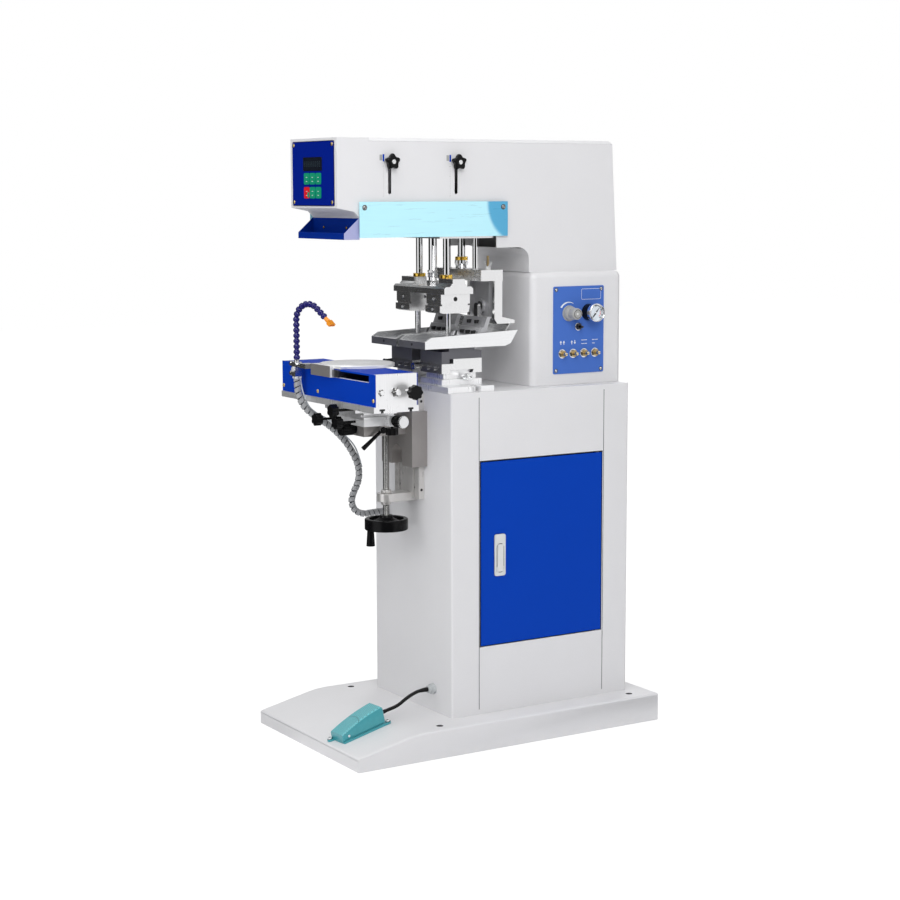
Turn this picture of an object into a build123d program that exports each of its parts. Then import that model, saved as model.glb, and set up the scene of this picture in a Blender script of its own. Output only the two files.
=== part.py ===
from build123d import *
import math
import os

# Pad printing machine on a floor stand: two ink trays, a print head that
# slides over them, and a worktable that shuttles left and right.
# Millimetres. +Z is up, the front is -Y, the cabinet door is on +X, and the
# origin is on the floor under the centre of the base.

# Clearances and small shared sizes
shaft_gap = 0.05
slide_gap = 0.2
air_gap = 0.4
overrun = 3.0
near = 0.05
screw_radius = 3.2
screw_head = 2.0

# Base: a ribbed plate with a ramp at the front
base_width = 500.0
base_length = 853.0
base_height = 68.0
base_nose = 33.0
base_ramp = 157.0
base_crest_radius = 240.0
base_edge_radius = 5.0
base_skin = 12.0
base_rib = 8.0
base_rib_columns = 3
base_rib_rows = 5
anchor_radius = 8.0
anchor_boss = 20.0
anchor_inset = 35.0
anchor_side = base_width / 2 - anchor_inset
anchor_crest_gap = 79.5
anchor_front = -base_length / 2 + base_ramp + anchor_crest_gap
anchor_rear_inset = 66.5
anchor_rear = base_length / 2 - anchor_rear_inset

# Cabinet column
column_half = 181.0
column_front = -135.0
column_rear = 376.0
column_top = 839.0
column_wall = 3.0
column_corner = 6.0
seam_width = 1.6
seam_depth = 0.8
seam_end = 12.0
seam_offset = 3.0

# Door in the +X wall
door_front = -56.0
door_rear = 298.0
door_bottom = 231.0
door_top = 676.0
door_gap = 2.5
door_thick = 3.0
hinge_inset = 10.0
hinge_depth = 8.0
hinge_pin_radius = 4.0
hinge_block = 16.0
hinge_height = 14.0
hinge_leaf = 5.0

# Door lock: plate with a lever that swings out
lock_height = 100.0
lock_width = 30.0
lock_plate = 4.0
lock_middle_z = 449.0
lock_middle_y = -2.0
lock_rim = 5.0
lock_lever_length = 66.0
lock_lever_width = 16.0
lock_lever_thick = 6.0
lock_pivot_radius = 1.8
lock_corner = 5.0

# Foot-switch cable outlet on the column's front
gland_x = 98.0
gland_z = 124.0
gland_radius = 12.0
gland_length = 10.0
gland_nose_radius = 9.0
gland_nose = 8.0

# Rear housing with the air panel
housing_half = 138.0
housing_front = 118.0
housing_rear = 384.0
housing_top = 1112.0
housing_round = 16.0
housing_wall = 4.0

# Air panel on the housing's +X side
air_panel_front = 179.0
air_panel_rear = 328.0
air_panel_bottom = 866.0
air_panel_top = 1077.0
air_panel_thick = 2.0
air_panel_corner = 4.0
air_panel_lap = 12.0
panel_screw_inset = 8.0
regulator_y = 224.0
regulator_z = 1012.0
regulator_ring_radius = 19.0
regulator_ring = 3.0
regulator_knob_radius = 14.0
regulator_foot_radius = 16.5
regulator_foot = 12.0
regulator_length = 38.0
regulator_body = 50.0
regulator_body_length = 55.0
gauge_y = 282.0
gauge_z = 1013.0
gauge_radius = 22.5
gauge_body_radius = 20.0
gauge_length = 38.0
gauge_dial_depth = 7.0
gauge_bezel = 2.5
gauge_bezel_length = 13.0
needle_length = 15.0
needle_width = 1.6
needle_thick = 0.8
needle_hub = 2.4
needle_lean = 40.0
toggle_y = 252.0
toggle_z = 979.0
toggle_nut_radius = 8.5
toggle_nut = 7.0
toggle_ball = 3.5
toggle_stem_radius = 2.0
toggle_length = 20.0
toggle_tip_radius = 3.0
toggle_tip = 6.0
valve_first_y = 205.0
valve_pitch = 32.2
valve_count = 4
valve_z = 914.5
valve_nut_radius = 9.5
valve_nut = 6.0
valve_stem_radius = 3.0
valve_knob_radius = 4.4
valve_knob = 14.0
valve_block_height = 26.0
valve_block_depth = 30.0

# Head: welded sheet housing over the print carriage
head_half = 113.0
head_wall = 4.0
head_lower = 1203.0
head_height = 222.0
head_top = head_lower + head_height
head_front = -393.0
head_rear_top = 369.0
head_rear_bottom = 386.0
head_box_bottom = 1267.0
head_box_back = -350.0
head_box_rise = 8.0
head_chin_y = -336.0
head_chin_round = 14.0
head_step_y = 34.0
head_step_z = 1172.0
neck_front = 126.0
neck_round = 30.0
cover_front = -311.0
cover_thick = 8.0
cover_chamfer = 7.0
neck_web = 4.0

# Slots for the two stroke stops, in the +X cheek
stop_front_y = -257.0
stop_rear_y = -79.0
stop_slot_drop = 50.0
stop_slot_length = 77.0
stop_slot_top = head_top - stop_slot_drop
stop_slot_bottom = stop_slot_top - stop_slot_length
stop_slot_width = 8.0
stop_stem_radius = 3.6
stop_knob_radius = 17.0
stop_knob_thick = 13.0
stop_lobe_radius = 5.6
stop_lobes = 5
stop_washer_radius = 9.0
stop_washer = 2.0
stop_neck_radius = 7.0
stop_neck = 6.0
stop_block_width = 16.0
stop_block_thick = 10.0

# Control panel on the front of the head
control_half = 100.0
control_rise = 6.0
control_drop = 8.0
control_bottom = head_box_bottom + control_rise
control_top = head_top - control_drop
control_height = control_top - control_bottom
control_thick = 2.0
control_corner = 3.0
display_half = 44.0
display_share = 0.65
display_height = 27.0
display_middle = control_bottom + control_height * display_share
display_bottom = display_middle - display_height / 2
display_top = display_middle + display_height / 2
display_rise = 1.0
key_width = 24.0
key_height = 26.0
key_pitch_x = 28.5
key_top_share = 0.42
key_low_share = 0.2
key_row_top_z = control_bottom + control_height * key_top_share
key_row_low_z = control_bottom + control_height * key_low_share
key_rise = 1.0
key_corner = 4.0
key_columns = 3
control_screw_inset = 7.0

# Tool tray under the control box
tooltray_half = 112.0
tooltray_depth = 40.0
tooltray_top = 1244.0
tooltray_bottom = 1196.0
tooltray_lip = 14.0
tooltray_sheet = 1.5
tooltray_screw_x = 55.0
tooltray_screw_z = 1222.0

# Guard plates over the sides of the head
guard_front = -340.0
guard_rear = 60.0
guard_bottom = 1200.0
guard_top = 1281.0
guard_thick = 2.0
guard_spacer = 6.0
guard_spacer_radius = 7.0
guard_screw_inset = 13.0
guard_screw_share = 1.4

# Carriage and its rails
rail_x = 88.0
rail_z = 1231.0
rail_radius = 9.0
drive_z = 1276.0
drive_radius = 10.0
carriage_half = 103.0
carriage_front = -118.0
carriage_rear = 50.0
carriage_bottom = 1195.0
carriage_plate = 14.0
carriage_block_inner = 75.0
carriage_block_outer = 101.0
carriage_block_top = 1252.0
carriage_drive_top = 1298.0
carriage_block_front = -112.0
carriage_block_rear = 44.0
pad_cylinder_half = 32.0
pad_cylinder_drop = 40.0
pad_cylinder_top = head_top - pad_cylinder_drop
blade_cylinder_half = 26.0
blade_cylinder_top = 1325.0
bush_radius = 12.0
bush_height = 30.0

# Pad head, hanging from the carriage on two rods and a piston rod
pad_y = -75.0
pad_beam_half = 118.0
pad_beam_depth = 80.0
pad_beam_bottom = 1065.0
pad_flange = 18.0
pad_web_depth = 34.0
pad_web_top = 1101.0
pad_block_length = 62.0
pad_fillet = 7.0
pad_shoulder = 5.0
pad_rod_x = 62.0
pad_rod_radius = 8.0
pad_rod_top = 1262.0
pad_piston_radius = 10.0
pad_piston_top = 1250.0
pad_ring_radius = 14.5
pad_ring = 8.0
pad_nut_radius = 14.0
pad_nut = 11.0
pad_offset = 70.0
pad_holder_width = 66.0
pad_holder_upper = 23.0
pad_holder_groove = 4.0
pad_holder_lower = 18.0
pad_holder_setback = 3.0
pad_holder_screw_share = 1.2
pad_stem_radius = 7.0
pad_stem_bottom = 965.0

# Blade head, behind the pad head
blade_y = 6.0
blade_beam_half = 116.0
blade_beam_front = -12.0
blade_beam_rear = 49.0
blade_beam_bottom = 1094.0
blade_beam_top = 1120.0
blade_rod_radius = 7.0
blade_rod_top = 1258.0
blade_piston_radius = 9.0
blade_piston_top = 1240.0
blade_ring_radius = 15.0
blade_ring = 9.0
blade_ring_z = 1140.0
blade_spring_radius = 11.0
blade_plate_width = 62.0
blade_plate_thick = 12.0
blade_plate_y = 22.0
blade_plate_bottom = 1010.0
blade_cheek_width = 12.0
blade_cheek_depth = 26.0
blade_boss_radius = 17.0
blade_boss = 6.0
blade_boss_z = 1033.0
wing_x = 66.0
wing_y = 39.0
wing_stud_radius = 3.0
wing_stud_top = 1152.0
wing_hub_radius = 7.0
wing_hub = 7.0
wing_reach = 16.0
wing_rise = 12.0
wing_thick = 3.0

# Doctor blades, tilting on the boss under each blade plate
doctor_offset = 66.0
doctor_width = 100.0
doctor_thick = 11.0
doctor_top_z = 1009.0
doctor_bottom_z = 961.0
doctor_lean = 20.0
doctor_clamp_thick = 6.0
doctor_blade_thick = 1.2
doctor_blade_out = 2.6
doctor_stem_radius = 8.0
doctor_screw_half = 4.0
doctor_screw_out = 8.0

# Spatula arms behind the blade beam
spatula_arm_x = 108.0
spatula_arm_width = 12.0
spatula_arm_front = 27.0
spatula_arm_bottom = 1004.0
spatula_bar_thick = 8.0
spatula_foot_rear = 84.0
spatula_foot_drop = 12.0
spatula_width = 100.0
spatula_plate_thick = 2.0
spatula_plate_bottom = 974.0
spatula_lean = 22.0

# Ink trays and the adjusting stages under them
tray_offset = 66.0
tray_width = 120.0
tray_front = -173.0
tray_floor_rear = 50.0
tray_heel_y = 66.0
tray_heel_z = 946.0
tray_tip_y = 86.0
tray_tip_z = 977.0
tray_bottom = 940.0
tray_front_z = 957.0
tray_shoulder_y = -156.0
tray_shoulder_z = 967.0
tray_wall = 5.0
tray_front_wall = 7.0
tray_floor_z = 946.0
plate_rear_y = -20.0
plate_top_z = 955.0
plate_gap = 1.0
tray_hole_radius = 3.5
tray_hole_drop = 8.0
stage_offset = 68.5
stage_width = 97.0
stage_front = -122.0
stage_rear = -11.0
stage_foot_top = 866.0
stage_slide_bottom = 880.0
stage_step_z = 903.0
stage_split_z = 914.0
stage_step_front = -100.0
stage_step_rear = -90.0
stage_dovetail = 54.0
stage_dovetail_flare = 6.0
stage_neck_inset = 10.0
stage_tongue_inset = 20.0
stage_tongue = 8.0
knurl_radius = 8.5
knurl_length = 20.0
knurl_stem_radius = 3.5
knurl_stem = 12.0
side_knurl_y = -56.0
side_knurl_z = 871.0
front_knurl_inset = 30.0
front_knurl_z = 895.0
front_screw_radius = 5.0
front_screw = 12.0
tray_base_half = 167.0
tray_base_front = -136.0
tray_base_rear = -8.0
tray_base_thick = 14.0
tray_base_slot_y = -57.0
tray_base_slot = 22.0
tray_base_slot_depth = 30.0

# Vertical guide on the column and the saddle that rides on it
guide_half = 57.0
guide_thick = 15.0
guide_bottom = 578.0
guide_top = 832.0
guide_slot_half = 4.0
guide_slot_depth = 5.0
guide_slot_x = 34.0
saddle_half = 72.0
saddle_front = -177.0
saddle_bottom = 658.0
saddle_top = 790.0
saddle_slot_half = 24.5
saddle_slot_top = 706.0
knee_half = 42.0
knee_front = -290.0
knee_bottom = 735.0
knee_top = 764.0
bracket_half = 22.0
bracket_bottom = 571.0
bracket_top = 591.0
screw_y = -207.0
screw_thread_radius = 8.0
screw_top = 790.0
screw_collar_radius = 12.0
screw_collar = 8.0
wheel_top_z = 530.0
wheel_radius = 52.0
wheel_rim_height = 27.0
wheel_rim_width = 11.0
wheel_web = 10.0
wheel_web_drop = 10.0
wheel_window_radius = 26.0
wheel_windows = 3
wheel_window_size = 9.0
wheel_hub_radius = 15.0
wheel_hub_rise = 16.0
wheel_hub_top_radius = 11.0
wheel_grip_radius = 10.5
wheel_grip_top_radius = 7.5
wheel_grip_length = 48.0
wheel_grip_angle = 205.0
clamp_x = 46.0
clamp_y = -246.0
clamp_z = 750.0
clamp_hub_radius = 8.0
clamp_hub = 12.0
clamp_length = 62.0
clamp_root_radius = 3.5
clamp_tip_radius = 5.5
clamp_angle = 218.0

# Cross slide under the shuttle
cross_half = 82.0
cross_front = -312.0
cross_rear = -224.0
cross_bottom = 764.0
cross_top = 780.0
cross_rail = 40.0
cross_rail_height = 5.0
carrier_step = 796.0
carrier_half = 74.0
carrier_front = -330.0
carrier_slot_low = 786.0
carrier_slot_top = 791.0
carrier_slot_depth = 14.0
feed_radius = 14.5
feed_length = 30.0
feed_cap_radius = 12.5
feed_cap = 3.0
feed_collar_radius = 11.0
feed_collar = 8.0
feed_stem_radius = 5.0
feed_stem = 14.0
feed_rib_count = 18
feed_rib_depth = 0.9
feed_x_y = -246.0
feed_x_z = 778.0
feed_x_start = 112.0
feed_block_gap = 11.5
feed_y_z = 751.0
lobe_knob_radius = 15.0
lobe_knob_thick = 17.0
lobe_knob_lobes = 6
lobe_knob_lobe = 5.6
lobe_stem_radius = 3.0
lobe_seat = 22.0
lobe_left_x = -48.0
lobe_left_z = 773.0
lobe_left_stem = 44.0
lobe_low_x = 40.0
lobe_low_z = 773.0
lobe_low_stem = 38.0
lobe_high_x = 64.0
lobe_high_z = 805.0
lobe_high_stem = 44.0
lobe_under_x = 94.0
lobe_under_y = -244.0
lobe_under_stem = 4.0

# Shuttle: base plate, end plates, cover and the table that slides along X
shuttle_half = 228.0
shuttle_front = -362.0
shuttle_rear = -256.0
shuttle_base_bottom = 812.0
shuttle_base_thick = 14.0
shuttle_base_over = 5.0
shuttle_top = 899.0
shuttle_end = 10.0
shuttle_sheet = 2.0
tee_slot_pitch = 74.0
tee_slot_neck = 6.0
tee_slot_head = 12.0
tee_slot_neck_depth = 5.0
tee_slot_head_depth = 4.0
shuttle_slot_low = 881.0
shuttle_slot_top = 895.0
shuttle_slot_left = -60.0
shuttle_slot_right = 200.0
shuttle_rail_radius = 7.0
shuttle_rail_offset = 30.0
shuttle_rail_z = 868.0
rail_bush_share = 1.6
shuttle_cylinder_radius = 12.0
shuttle_cylinder_z = 843.0
cover_screw_inset = 8.0
cover_screw_middle = -45.0
cover_screw_x = (-shuttle_half + cover_screw_inset, cover_screw_middle,
                 shuttle_half - cover_screw_inset)
cover_screw_z = 840.0
shuttle_stop_y = -278.0
shuttle_stop_z = 858.0
shuttle_stop_hole_y = -348.0
end_screw_share = 1.6
stop_handle_radius = 17.0
stop_handle_lobes = 8
stop_handle_lobe = 4.2
stop_handle_thick = 15.0
stop_handle_stem_radius = 4.0
stop_handle_stem = 22.0
jam_y = -311.0
jam_radius = 7.0
jam_lobes = 6
table_left = -58.0
table_right = 67.0
table_top_z = 905.0
table_skirt_z = 879.0
table_skirt_right = 37.0
table_skirt_thick = 11.0
table_plate_rear = -262.0
table_tongue_low = 882.5
table_tongue_top = 893.5
disc_radius = 88.0
disc_x = 4.0
disc_y = -285.0
disc_bevel = 1.5
table_dark_low = 881.0
table_dark_top = 897.0

# Air fitting, jointed nozzle hose and wrapped tube bundle on the shuttle
fitting_x = -112.0
fitting_y = -384.0
fitting_z = 888.0
fitting_half = 9.0
fitting_height = 34.0
fitting_elbow_radius = 5.5
fitting_elbow = 14.0
fitting_arm_share = 1.3
fitting_nut_radius = 6.5
fitting_nut = 5.0
hose_ball_radius = 7.8
hose_waist_radius = 5.0
hose_bore_radius = 2.8
hose_links = 17
hose_rise = 94.0
hose_bend = 39.0
hose_turn = 129.0
hose_run = 36.0
hose_aim = 21.0
link_place_shares = (0.0, 0.3, 0.62, 0.9)
nozzle_length = 26.0
nozzle_width = 20.0
nozzle_thick = 6.0
nozzle_throat_radius = 6.0
bundle_diameter = 12.0
bundle_outlet_x = -120.0
bundle_outlet_z = 525.0
bundle_outlet = 6.0
bundle_bend_shares = (
    (0, 0, -0.072), (0.006, 0.012, -0.15), (0.014, 0.052, -0.223), (0.023, 0.121, -0.28),
    (0.029, 0.208, -0.335), (0.035, 0.292, -0.405), (0.035, 0.364, -0.483),
    (0.032, 0.416, -0.561), (0.029, 0.454, -0.639), (0.023, 0.468, -0.714),
    (0.017, 0.457, -0.78), (0.006, 0.428, -0.841), (-0.006, 0.416, -0.908),
    (-0.014, 0.448, -0.974), (-0.02, 0.517, -1.006), (-0.023, 0.601, -1))

# Foot switch on the ramp
foot_x = 110.0
foot_nose_gap = 80.5
foot_y = -base_length / 2 + foot_nose_gap
foot_turn = 4.0
foot_length = 122.0
foot_width = 50.0
foot_flange = 4.0
foot_flange_thick = 5.0
foot_front_height = 22.0
foot_middle_height = 37.0
foot_rear_height = 48.0
foot_wall = 3.0
foot_gap = 3.5
foot_lug_radius = 7.0
foot_pivot_radius = 2.5
foot_pivot_inset = 18.0
foot_pivot_z = 13.0
foot_core_half = 17.0
foot_core_height = 25.0
foot_core_front = -34.0
foot_outlet_z = 22.0
foot_outlet_radius = 6.0
cable_diameter = 7.0
cable_bend_shares = ((0.3, 0.047, -0.026), (0.56, 0.023, 0.018), (0.81, 0.0, 0.022))
cable_straight_share = 3.0
corner_share = 0.45


def block(x0, x1, y0, y1, z0, z1):
    centre = Pos((x0 + x1) / 2, (y0 + y1) / 2, (z0 + z1) / 2)
    return centre * Box(abs(x1 - x0), abs(y1 - y0), abs(z1 - z0))


def rod(x, y, z, radius, length, along=(0, 0, 1)):
    # a cylinder that starts at the point and runs along the direction
    start = Plane(origin=(x, y, z), z_dir=along)
    return start * Cylinder(radius, length, align=(Align.CENTER, Align.CENTER, Align.MIN))


def frustum(x, y, z, first, last, length, along=(0, 0, 1)):
    start = Plane(origin=(x, y, z), z_dir=along)
    return start * Cone(first, last, length, align=(Align.CENTER, Align.CENTER, Align.MIN))


def tube(x, y, z, outer, inner, length, along=(0, 0, 1)):
    hole = rod(x, y, z, inner, length, along)
    return rod(x, y, z, outer, length, along) - hole


def side_profile(points, x0, x1):
    # an outline of (y, z) points, extruded along X
    face = make_face(Polyline(*points, close=True))
    return extrude(Plane.YZ.offset(x0) * face, amount=x1 - x0)


def front_profile(points, y0, y1):
    # an outline of (x, z) points, extruded along Y
    face = make_face(Polyline(*points, close=True))
    return extrude(Plane.XZ.offset(-y1) * face, amount=y1 - y0)


def rounded_plate_x(y0, y1, z0, z1, x0, x1, corner):
    face = RectangleRounded(y1 - y0, z1 - z0, corner)
    place = Plane.YZ.offset(x0) * Pos((y0 + y1) / 2, (z0 + z1) / 2)
    return extrude(place * face, amount=x1 - x0)


def rounded_plate_y(x0, x1, z0, z1, y0, y1, corner):
    face = RectangleRounded(x1 - x0, z1 - z0, corner)
    place = Plane.XZ.offset(-y1) * Pos((x0 + x1) / 2, (z0 + z1) / 2)
    return extrude(place * face, amount=y1 - y0)


def lobed_disc(radius, lobes, lobe_radius, thick):
    # a round knob whose rim is a ring of lobes, lying on z = 0
    face = Circle(radius - lobe_radius / 2)
    for step in range(lobes):
        angle = math.radians(step * 360 / lobes)
        reach = radius - lobe_radius
        face += Pos(reach * math.cos(angle), reach * math.sin(angle)) * Circle(lobe_radius)
    return extrude(face, amount=thick)


def hexagon(x, y, z, radius, length, along):
    start = Plane(origin=(x, y, z), z_dir=along)
    return start * extrude(RegularPolygon(radius, 6), amount=length)


def edges_at(shape, test):
    return [edge for edge in shape.edges() if test(edge.center())]


def ramp_height(y):
    # height of the base's top above the floor at this y
    crest = -base_length / 2 + base_ramp
    if y >= crest:
        return base_height
    share = (y + base_length / 2) / base_ramp
    return base_nose + (base_height - base_nose) * share


def make_base():
    half = base_width / 2
    front = -base_length / 2
    rear = base_length / 2
    crest = front + base_ramp
    outer = side_profile(
        [(front, 0), (rear, 0), (rear, base_height), (crest, base_height), (front, base_nose)],
        -half, half)
    crest_edge = edges_at(
        outer, lambda c: abs(c.Y - crest) < near and abs(c.Z - base_height) < near)
    outer = fillet(crest_edge, base_crest_radius)
    rim = edges_at(
        outer, lambda c: c.Z > base_nose - near
        and (abs(abs(c.X) - half) < near or abs(c.Y - front) < near or abs(c.Y - rear) < near))
    outer = fillet(rim, base_edge_radius)
    slope = (base_height - base_nose) / base_ramp
    low = base_nose + slope * base_skin - base_skin
    inner = side_profile(
        [(front + base_skin, -overrun), (rear - base_skin, -overrun),
         (rear - base_skin, base_height - base_skin),
         (crest + base_skin, base_height - base_skin), (front + base_skin, low)],
        -half + base_skin, half - base_skin)
    for column in range(base_rib_columns):
        x = -half + (column + 1) * base_width / (base_rib_columns + 1)
        inner -= block(x - base_rib / 2, x + base_rib / 2, front, rear, -overrun, base_height)
    for row in range(base_rib_rows):
        y = front + (row + 1) * base_length / (base_rib_rows + 1)
        inner -= block(-half, half, y - base_rib / 2, y + base_rib / 2, -overrun, base_height)
    for x in (-anchor_side, anchor_side):
        for y in (anchor_front, anchor_rear):
            inner -= rod(x, y, -overrun, anchor_boss, base_height + overrun)
    body = outer - inner
    for x in (-anchor_side, anchor_side):
        for y in (anchor_front, anchor_rear):
            body -= rod(x, y, -overrun, anchor_radius, base_height + overrun * 2)
    return body


def hinge_axis():
    return column_half - hinge_depth, door_rear - hinge_inset


def make_column():
    depth = column_rear - column_front
    middle = (column_rear + column_front) / 2
    height = column_top - base_height
    outer = Pos(0, middle, base_height) * extrude(
        RectangleRounded(column_half * 2, depth, column_corner), amount=height)
    inner = Pos(0, middle, base_height - overrun) * extrude(
        RectangleRounded(column_half * 2 - column_wall * 2, depth - column_wall * 2,
                         column_corner - column_wall),
        amount=height - column_wall + overrun)
    body = outer - inner
    body -= block(column_half - column_wall - overrun, column_half + overrun,
                  door_front, door_rear, door_bottom, door_top)
    for y in (door_front - seam_offset, door_rear + seam_offset):
        body -= block(column_half - seam_depth, column_half + overrun,
                      y - seam_width / 2, y + seam_width / 2,
                      base_height + seam_end, column_top - seam_end)
    axis_x, axis_y = hinge_axis()
    inside = column_half - column_wall
    for low, tip, start in ((door_top + door_gap, -1, door_top + door_gap + hinge_leaf),
                            (door_bottom - door_gap - hinge_leaf, 1,
                             door_bottom - door_gap - hinge_leaf)):
        leaf = block(axis_x - hinge_block / 2, inside, axis_y - hinge_block / 2,
                     axis_y + hinge_block / 2, low, low + hinge_leaf)
        reach = hinge_leaf + door_gap * 2 + hinge_height - overrun
        leaf += rod(axis_x, axis_y, start, hinge_pin_radius, reach, (0, 0, tip))
        body += leaf
    gland = rod(gland_x, column_front, gland_z, gland_radius, gland_length, (0, -1, 0))
    gland += rod(gland_x, column_front - gland_length, gland_z, gland_nose_radius,
                 gland_nose, (0, -1, 0))
    grommet = rod(bundle_outlet_x, column_front, bundle_outlet_z, gland_nose_radius,
                  bundle_outlet, (0, -1, 0))
    return Compound(children=[body, gland, grommet])


def make_door():
    panel = block(column_half - door_thick, column_half, door_front + door_gap,
                  door_rear - door_gap, door_bottom + door_gap, door_top - door_gap)
    axis_x, axis_y = hinge_axis()
    for low in (door_bottom + door_gap, door_top - door_gap - hinge_height):
        knuckle = block(axis_x - hinge_block / 2, column_half - door_thick,
                        axis_y - hinge_block / 2, axis_y + hinge_block / 2 - door_gap,
                        low, low + hinge_height)
        panel += knuckle
        panel -= rod(axis_x, axis_y, low - overrun, hinge_pin_radius + shaft_gap,
                     hinge_height + overrun * 2)
    middle_low = lock_middle_z - lock_height / 2
    plate = rounded_plate_x(lock_middle_y - lock_width / 2, lock_middle_y + lock_width / 2,
                            middle_low, middle_low + lock_height,
                            column_half, column_half + lock_plate, lock_corner)
    pocket_half = lock_lever_width / 2 + air_gap
    lever_low = lever_bottom()
    plate -= block(column_half + lock_plate / 4, column_half + lock_plate + overrun,
                   lock_middle_y - pocket_half, lock_middle_y + pocket_half,
                   lever_low - air_gap, lever_low + lock_lever_length + air_gap)
    for side in (-1, 1):
        ear_inner = lock_middle_y + side * pocket_half
        ear_outer = ear_inner + side * lock_plate / 2
        plate += block(column_half + lock_plate / 4, column_half + lock_plate * 2, ear_inner,
                       ear_outer, lever_low, lever_low + lock_lever_thick * 2)
    pivot_x, pivot_z = lever_pivot()
    plate -= rod(pivot_x, lock_middle_y - pocket_half - lock_plate, pivot_z,
                 lock_pivot_radius + shaft_gap, (pocket_half + lock_plate) * 2, (0, 1, 0))
    return Compound(children=[panel, plate])


def lever_bottom():
    return lock_middle_z - lock_height / 2 + lock_rim * 2


def lever_pivot():
    # x and z of the lever's pin, in the middle of its rounded lower end
    return (column_half + lock_plate / 4 + air_gap + lock_lever_thick / 2,
            lever_bottom() + lock_lever_thick / 2)


def make_lock_lever():
    pivot_x, pivot_z = lever_pivot()
    half = lock_lever_thick / 2
    side = lock_lever_width / 2
    lever = block(pivot_x - half, pivot_x + half, lock_middle_y - side, lock_middle_y + side,
                  pivot_z, lever_bottom() + lock_lever_length)
    outer = edges_at(lever, lambda c: c.X > pivot_x + half - near and c.Z > pivot_z + near)
    lever = fillet(outer, lock_plate / 2)
    lever += rod(pivot_x, lock_middle_y - side, pivot_z, half, side * 2, (0, 1, 0))
    reach = side + air_gap + lock_plate / 4
    return lever + rod(pivot_x, lock_middle_y - reach, pivot_z, lock_pivot_radius, reach * 2,
                       (0, 1, 0))


def make_housing():
    body = block(-housing_half, housing_half, housing_front, housing_rear,
                 column_top, housing_top)
    rounds = edges_at(body, lambda c: c.Z > housing_top - near
                      or (abs(abs(c.X) - housing_half) < near
                          and (abs(c.Y - housing_front) < near or abs(c.Y - housing_rear) < near)))
    body = fillet(rounds, housing_round)
    inner = block(-housing_half + housing_wall, housing_half - housing_wall,
                  housing_front + housing_wall, housing_rear - housing_wall,
                  column_top - overrun, housing_top - housing_round)
    inner = fillet(edges_at(inner, lambda c: abs(c.X) > housing_half - housing_wall - near
                            and (c.Y < housing_front + housing_wall + near
                                 or c.Y > housing_rear - housing_wall - near)),
                   housing_round - housing_wall)
    inner -= block(-housing_wall / 2, housing_wall / 2, housing_front, housing_rear,
                   column_top - overrun, housing_top)
    body -= inner
    body -= block(housing_half - housing_wall - overrun, housing_half + overrun,
                  air_panel_front + air_panel_lap, air_panel_rear - air_panel_lap,
                  air_panel_bottom + air_panel_lap, air_panel_top - air_panel_lap)
    return body


def make_air_panel():
    face = housing_half + air_panel_thick
    panel = rounded_plate_x(air_panel_front, air_panel_rear, air_panel_bottom, air_panel_top,
                            housing_half, face, air_panel_corner)
    for y in (air_panel_front + panel_screw_inset, air_panel_rear - panel_screw_inset):
        for z in (air_panel_bottom + panel_screw_inset, air_panel_top - panel_screw_inset):
            panel += rod(face, y, z, screw_radius, screw_head, (1, 0, 0))
    panel += rod(face, regulator_y, regulator_z, regulator_ring_radius, regulator_ring, (1, 0, 0))
    nut = hexagon(face, toggle_y, toggle_z, toggle_nut_radius, toggle_nut, (1, 0, 0))
    nut -= rod(face, toggle_y, toggle_z, toggle_ball + air_gap, toggle_nut + overrun, (1, 0, 0))
    panel += nut
    block_inner = housing_half - valve_block_depth
    for step in range(valve_count):
        y = valve_first_y + step * valve_pitch
        nut = hexagon(face, y, valve_z, valve_nut_radius, valve_nut, (1, 0, 0))
        nut -= rod(face, y, valve_z, valve_stem_radius + shaft_gap, valve_nut, (1, 0, 0))
        panel += nut
    manifold = block(block_inner, housing_half, valve_first_y - valve_nut_radius / 2,
                     valve_first_y + (valve_count - 1) * valve_pitch + valve_nut_radius / 2,
                     valve_z - valve_block_height / 2, valve_z + valve_block_height / 2)
    regulator = rod(housing_half, regulator_y, regulator_z, regulator_body / 2,
                    regulator_body_length, (-1, 0, 0))
    return Compound(children=[panel, manifold, regulator])


def make_regulator_knob():
    start = housing_half + air_panel_thick + regulator_ring
    end = housing_half + air_panel_thick + regulator_length
    knob = rod(start, regulator_y, regulator_z, regulator_foot_radius, regulator_foot, (1, 0, 0))
    knob += rod(start + regulator_foot, regulator_y, regulator_z, regulator_knob_radius,
                end - start - regulator_foot, (1, 0, 0))
    rim = edges_at(knob, lambda c: c.X > end - near)
    return chamfer(rim, screw_head / 2)


def make_gauge():
    face = housing_half + air_panel_thick
    bezel_start = face + gauge_length - gauge_bezel_length
    body = rod(face, gauge_y, gauge_z, gauge_body_radius, gauge_length - gauge_bezel_length,
               (1, 0, 0))
    body += rod(bezel_start, gauge_y, gauge_z, gauge_radius, gauge_bezel_length, (1, 0, 0))
    dial = face + gauge_length - gauge_dial_depth
    body -= rod(dial, gauge_y, gauge_z, gauge_radius - gauge_bezel, gauge_dial_depth + overrun,
                (1, 0, 0))
    return body


def make_gauge_needle():
    dial = housing_half + air_panel_thick + gauge_length - gauge_dial_depth
    hub = rod(dial, gauge_y, gauge_z, needle_hub, needle_thick * 2, (1, 0, 0))
    lean = math.radians(needle_lean)
    tip_y = needle_length * math.sin(lean)
    tip_z = needle_length * math.cos(lean)
    side_y = needle_width * math.cos(lean)
    side_z = needle_width * math.sin(lean)
    hand = side_profile(
        [(gauge_y - side_y, gauge_z + side_z), (gauge_y + tip_y, gauge_z + tip_z),
         (gauge_y + side_y, gauge_z - side_z), (gauge_y - tip_y / 2, gauge_z - tip_z / 2)],
        dial + needle_thick, dial + needle_thick * 2)
    return hub + hand


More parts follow.
